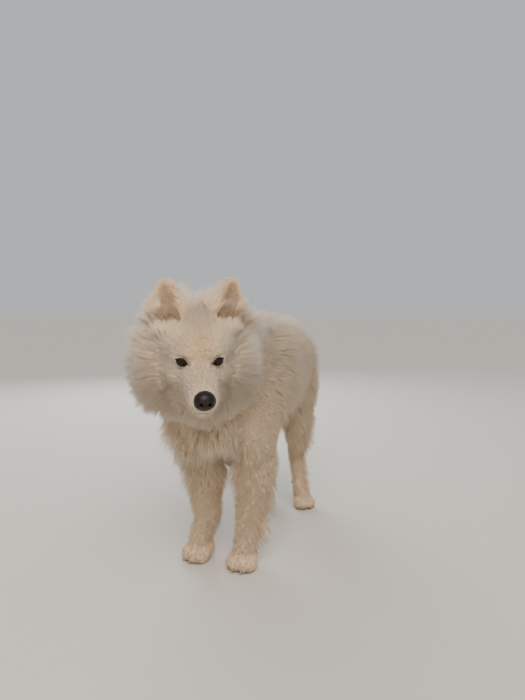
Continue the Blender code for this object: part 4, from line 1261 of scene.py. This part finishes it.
# %% Make the eyes
BALL_RINGS = 40
eyeball_film, cornea = new_material("wet_eye", 0.09, Specular_IOR_Level=0.32)
from_axis = add_node(eyeball_film, "ShaderNodeAttribute", {"attribute_name": "from_axis"}, "Fac")
eye_at = add_node(eyeball_film, "ShaderNodeTexCoord", out="Object")
fibres = add_node(eyeball_film, "ShaderNodeTexNoise", None, "Fac", Vector=eye_at, Scale=700.0, Detail=2.0)
iris = add_node(
    eyeball_film, "ShaderNodeMix", MIX_COLOURS, 2, i0=fibres, i6=linear("#160A05"), i7=linear("#2C170B")
)
eye_colour = linear("#050303")
for start, end, ring in (
    (0.24, 0.28, iris),
    (0.47, 0.54, linear("#120B08")),
    (0.74, 0.90, linear("#4A3A33")),
):
    past = add_node(eyeball_film, "ShaderNodeMapRange", Value=from_axis, From_Min=start, From_Max=end)
    eye_colour = add_node(eyeball_film, "ShaderNodeMix", MIX_COLOURS, 2, i0=past, i6=eye_colour, i7=ring)
eyeball_film.node_tree.links.new(eye_colour, cornea.inputs["Base Color"])

for name, side in SIDES.items():
    bm = bmesh.new()
    on_axis = eye_axes(side) @ Matrix.Rotation(math.pi / 2, 4, "X")
    bmesh.ops.create_uvsphere(
        bm, u_segments=2 * BALL_RINGS, v_segments=BALL_RINGS, radius=EYE_RADIUS, matrix=on_axis
    )
    ball = new_object(f"eyeball_{name}", bm)
    own = local(eye_axes(side), places_of(ball.data))
    set_number(ball.data, "from_axis", np.hypot(own[:, 0], own[:, 2]) / EYE_RADIUS + (own[:, 1] > 0))
    ball.data.materials.append(eyeball_film)
    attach(ball, "root")
    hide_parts(f"eye_{name}")
print("two eyes of", 2000 * EYE_RADIUS, "mm")

# %% [markdown]
# ## The nose
# The nose leather is a rounded block with two comma-shaped nostrils and a groove down its middle. A
# sphere is stretched to its size, and its points are pressed in where those are. Its surface is fine
# pebbled leather, a little moist, and the nostrils are painted darker, as painted shade in their depth.

# %% Make the nose
bm = bmesh.new()
lying = Matrix.Rotation(math.pi / 2, 4, "X")
bmesh.ops.create_uvsphere(bm, u_segments=120, v_segments=80, radius=1, matrix=lying)
nose = new_object("nose_leather", bm)
ball_at = places_of(nose.data)
across, ahead, up = (ball_at * np.array(NOSE_RADII)).T
in_front = smooth(-ball_at[:, 1], 0.05, 0.45)
aside = np.abs(across)
pit = np.exp(-((((aside - 0.0082) / 0.0034) ** 2 + ((up + 0.0008) / 0.0030) ** 2) ** 2))
slit = bump(aside, 0.0142, 0.0042) * bump(up + 0.25 * (0.0142 - aside), -0.0046, 0.0012)
rim = bump(np.hypot(aside - 0.0082, up + 0.0008), 0.0052, 0.0018)
furrow = bump(across, 0, 0.0007) * smooth(-up, -0.006, 0.004)
press = in_front * (0.0062 * pit + 0.0030 * slit - 0.0007 * rim + 0.0011 * furrow)
wider_below = 1 + 0.03 * smooth(-up, -0.004, 0.008)
shape = np.stack([across * wider_below, ahead + press, up * np.where(up > 0, 0.96, 1)], axis=1)
axes = np.array(HEAD @ Matrix.Translation(NOSE_AT))
set_places(nose.data, shape @ axes[:3, :3].T + axes[:3, 3])
set_number(nose.data, "pit", in_front * np.maximum(pit, 0.8 * slit))
set_number(nose.data, "ahead", -ball_at[:, 1])

pebbled_leather, leather = new_material(
    "moist_nose_leather", 0.42, Specular_IOR_Level=0.28, Coat_Weight=0.06, Coat_Roughness=0.15
)
facing, nostril_shade = (
    add_node(pebbled_leather, "ShaderNodeAttribute", {"attribute_name": name}, "Fac")
    for name in ("ahead", "pit")
)
leather_colour = linear("#0D0908")
in_middle = add_node(pebbled_leather, "ShaderNodeMapRange", Value=facing, From_Min=0.55, From_Max=1.0)
# The nostrils are painted darker than the leather, as painted shade in their depth.
for weight, colour in ((in_middle, "#251812"), (nostril_shade, "#080505")):
    leather_colour = add_node(
        pebbled_leather, "ShaderNodeMix", MIX_COLOURS, 2, i0=weight, i6=leather_colour, i7=linear(colour)
    )
pebbled_leather.node_tree.links.new(leather_colour, leather.inputs["Base Color"])
leather_at = add_node(pebbled_leather, "ShaderNodeTexCoord", out="Object")
pebbles = add_node(pebbled_leather, "ShaderNodeTexVoronoi", None, "Distance", Vector=leather_at, Scale=900.0)
leather_bump = add_node(pebbled_leather, "ShaderNodeBump", Height=pebbles, Distance=0.0003, Strength=0.6)
pebbled_leather.node_tree.links.new(leather_bump, leather.inputs["Normal"])
nose.data.materials.append(pebbled_leather)
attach(nose, "root")
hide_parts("nose")
print("nose", [round(2000 * radius, 1) for radius in NOSE_RADII], "mm")

# %% [markdown]
# ## Claws
# Each toe ends in a short curved claw of pale brown horn, half hidden in the coat. A claw is a loft of
# four stations that bends down to its tip, and the sixteen of them are one piece. Horn is smooth and
# a little glossy, and its colour varies along the growth.

# %% Make the claws
claws_bm = bmesh.new()
for feet, size in ((FRONT_FEET, 1.0), (HIND_FEET, HIND_SIZE)):
    for foot in feet.values():
        for toe_x, toe_y in TOES:
            stations = [
                ((toe_x, -toe_y - 0.010, 0.0130), 0.0032, 0.0036),
                ((toe_x, -toe_y - 0.0165, 0.0118), 0.0028, 0.0032),
                ((1.02 * toe_x, -toe_y - 0.0205, 0.0090), 0.0020, 0.0022),
                ((1.03 * toe_x, -toe_y - 0.0225, 0.0055), 0.0007, 0.0008),
            ]
            add_loft(claws_bm, stations, paw_frame(foot, size), 3, 12)
claws = new_object("claws", claws_bm)
claw_horn, horn = new_material("claw_horn", 0.36)
horn_at = add_node(claw_horn, "ShaderNodeTexCoord", out="Object")
growth = add_node(claw_horn, "ShaderNodeTexNoise", None, "Fac", Vector=horn_at, Scale=420.0, Detail=2.0)
horn_colour = add_node(
    claw_horn, "ShaderNodeMix", MIX_COLOURS, 2, i0=growth, i6=linear("#7C6654"), i7=linear("#B09A84")
)
claw_horn.node_tree.links.new(horn_colour, horn.inputs["Base Color"])
claws.data.materials.append(claw_horn)
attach(claws, "root")
print("claws:", len(claws.data.polygons), "faces")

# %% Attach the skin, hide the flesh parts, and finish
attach(skin, "root")
flesh = [name for name in frame["nodes"] if not name.startswith(("eye", "nose"))]
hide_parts(*flesh)
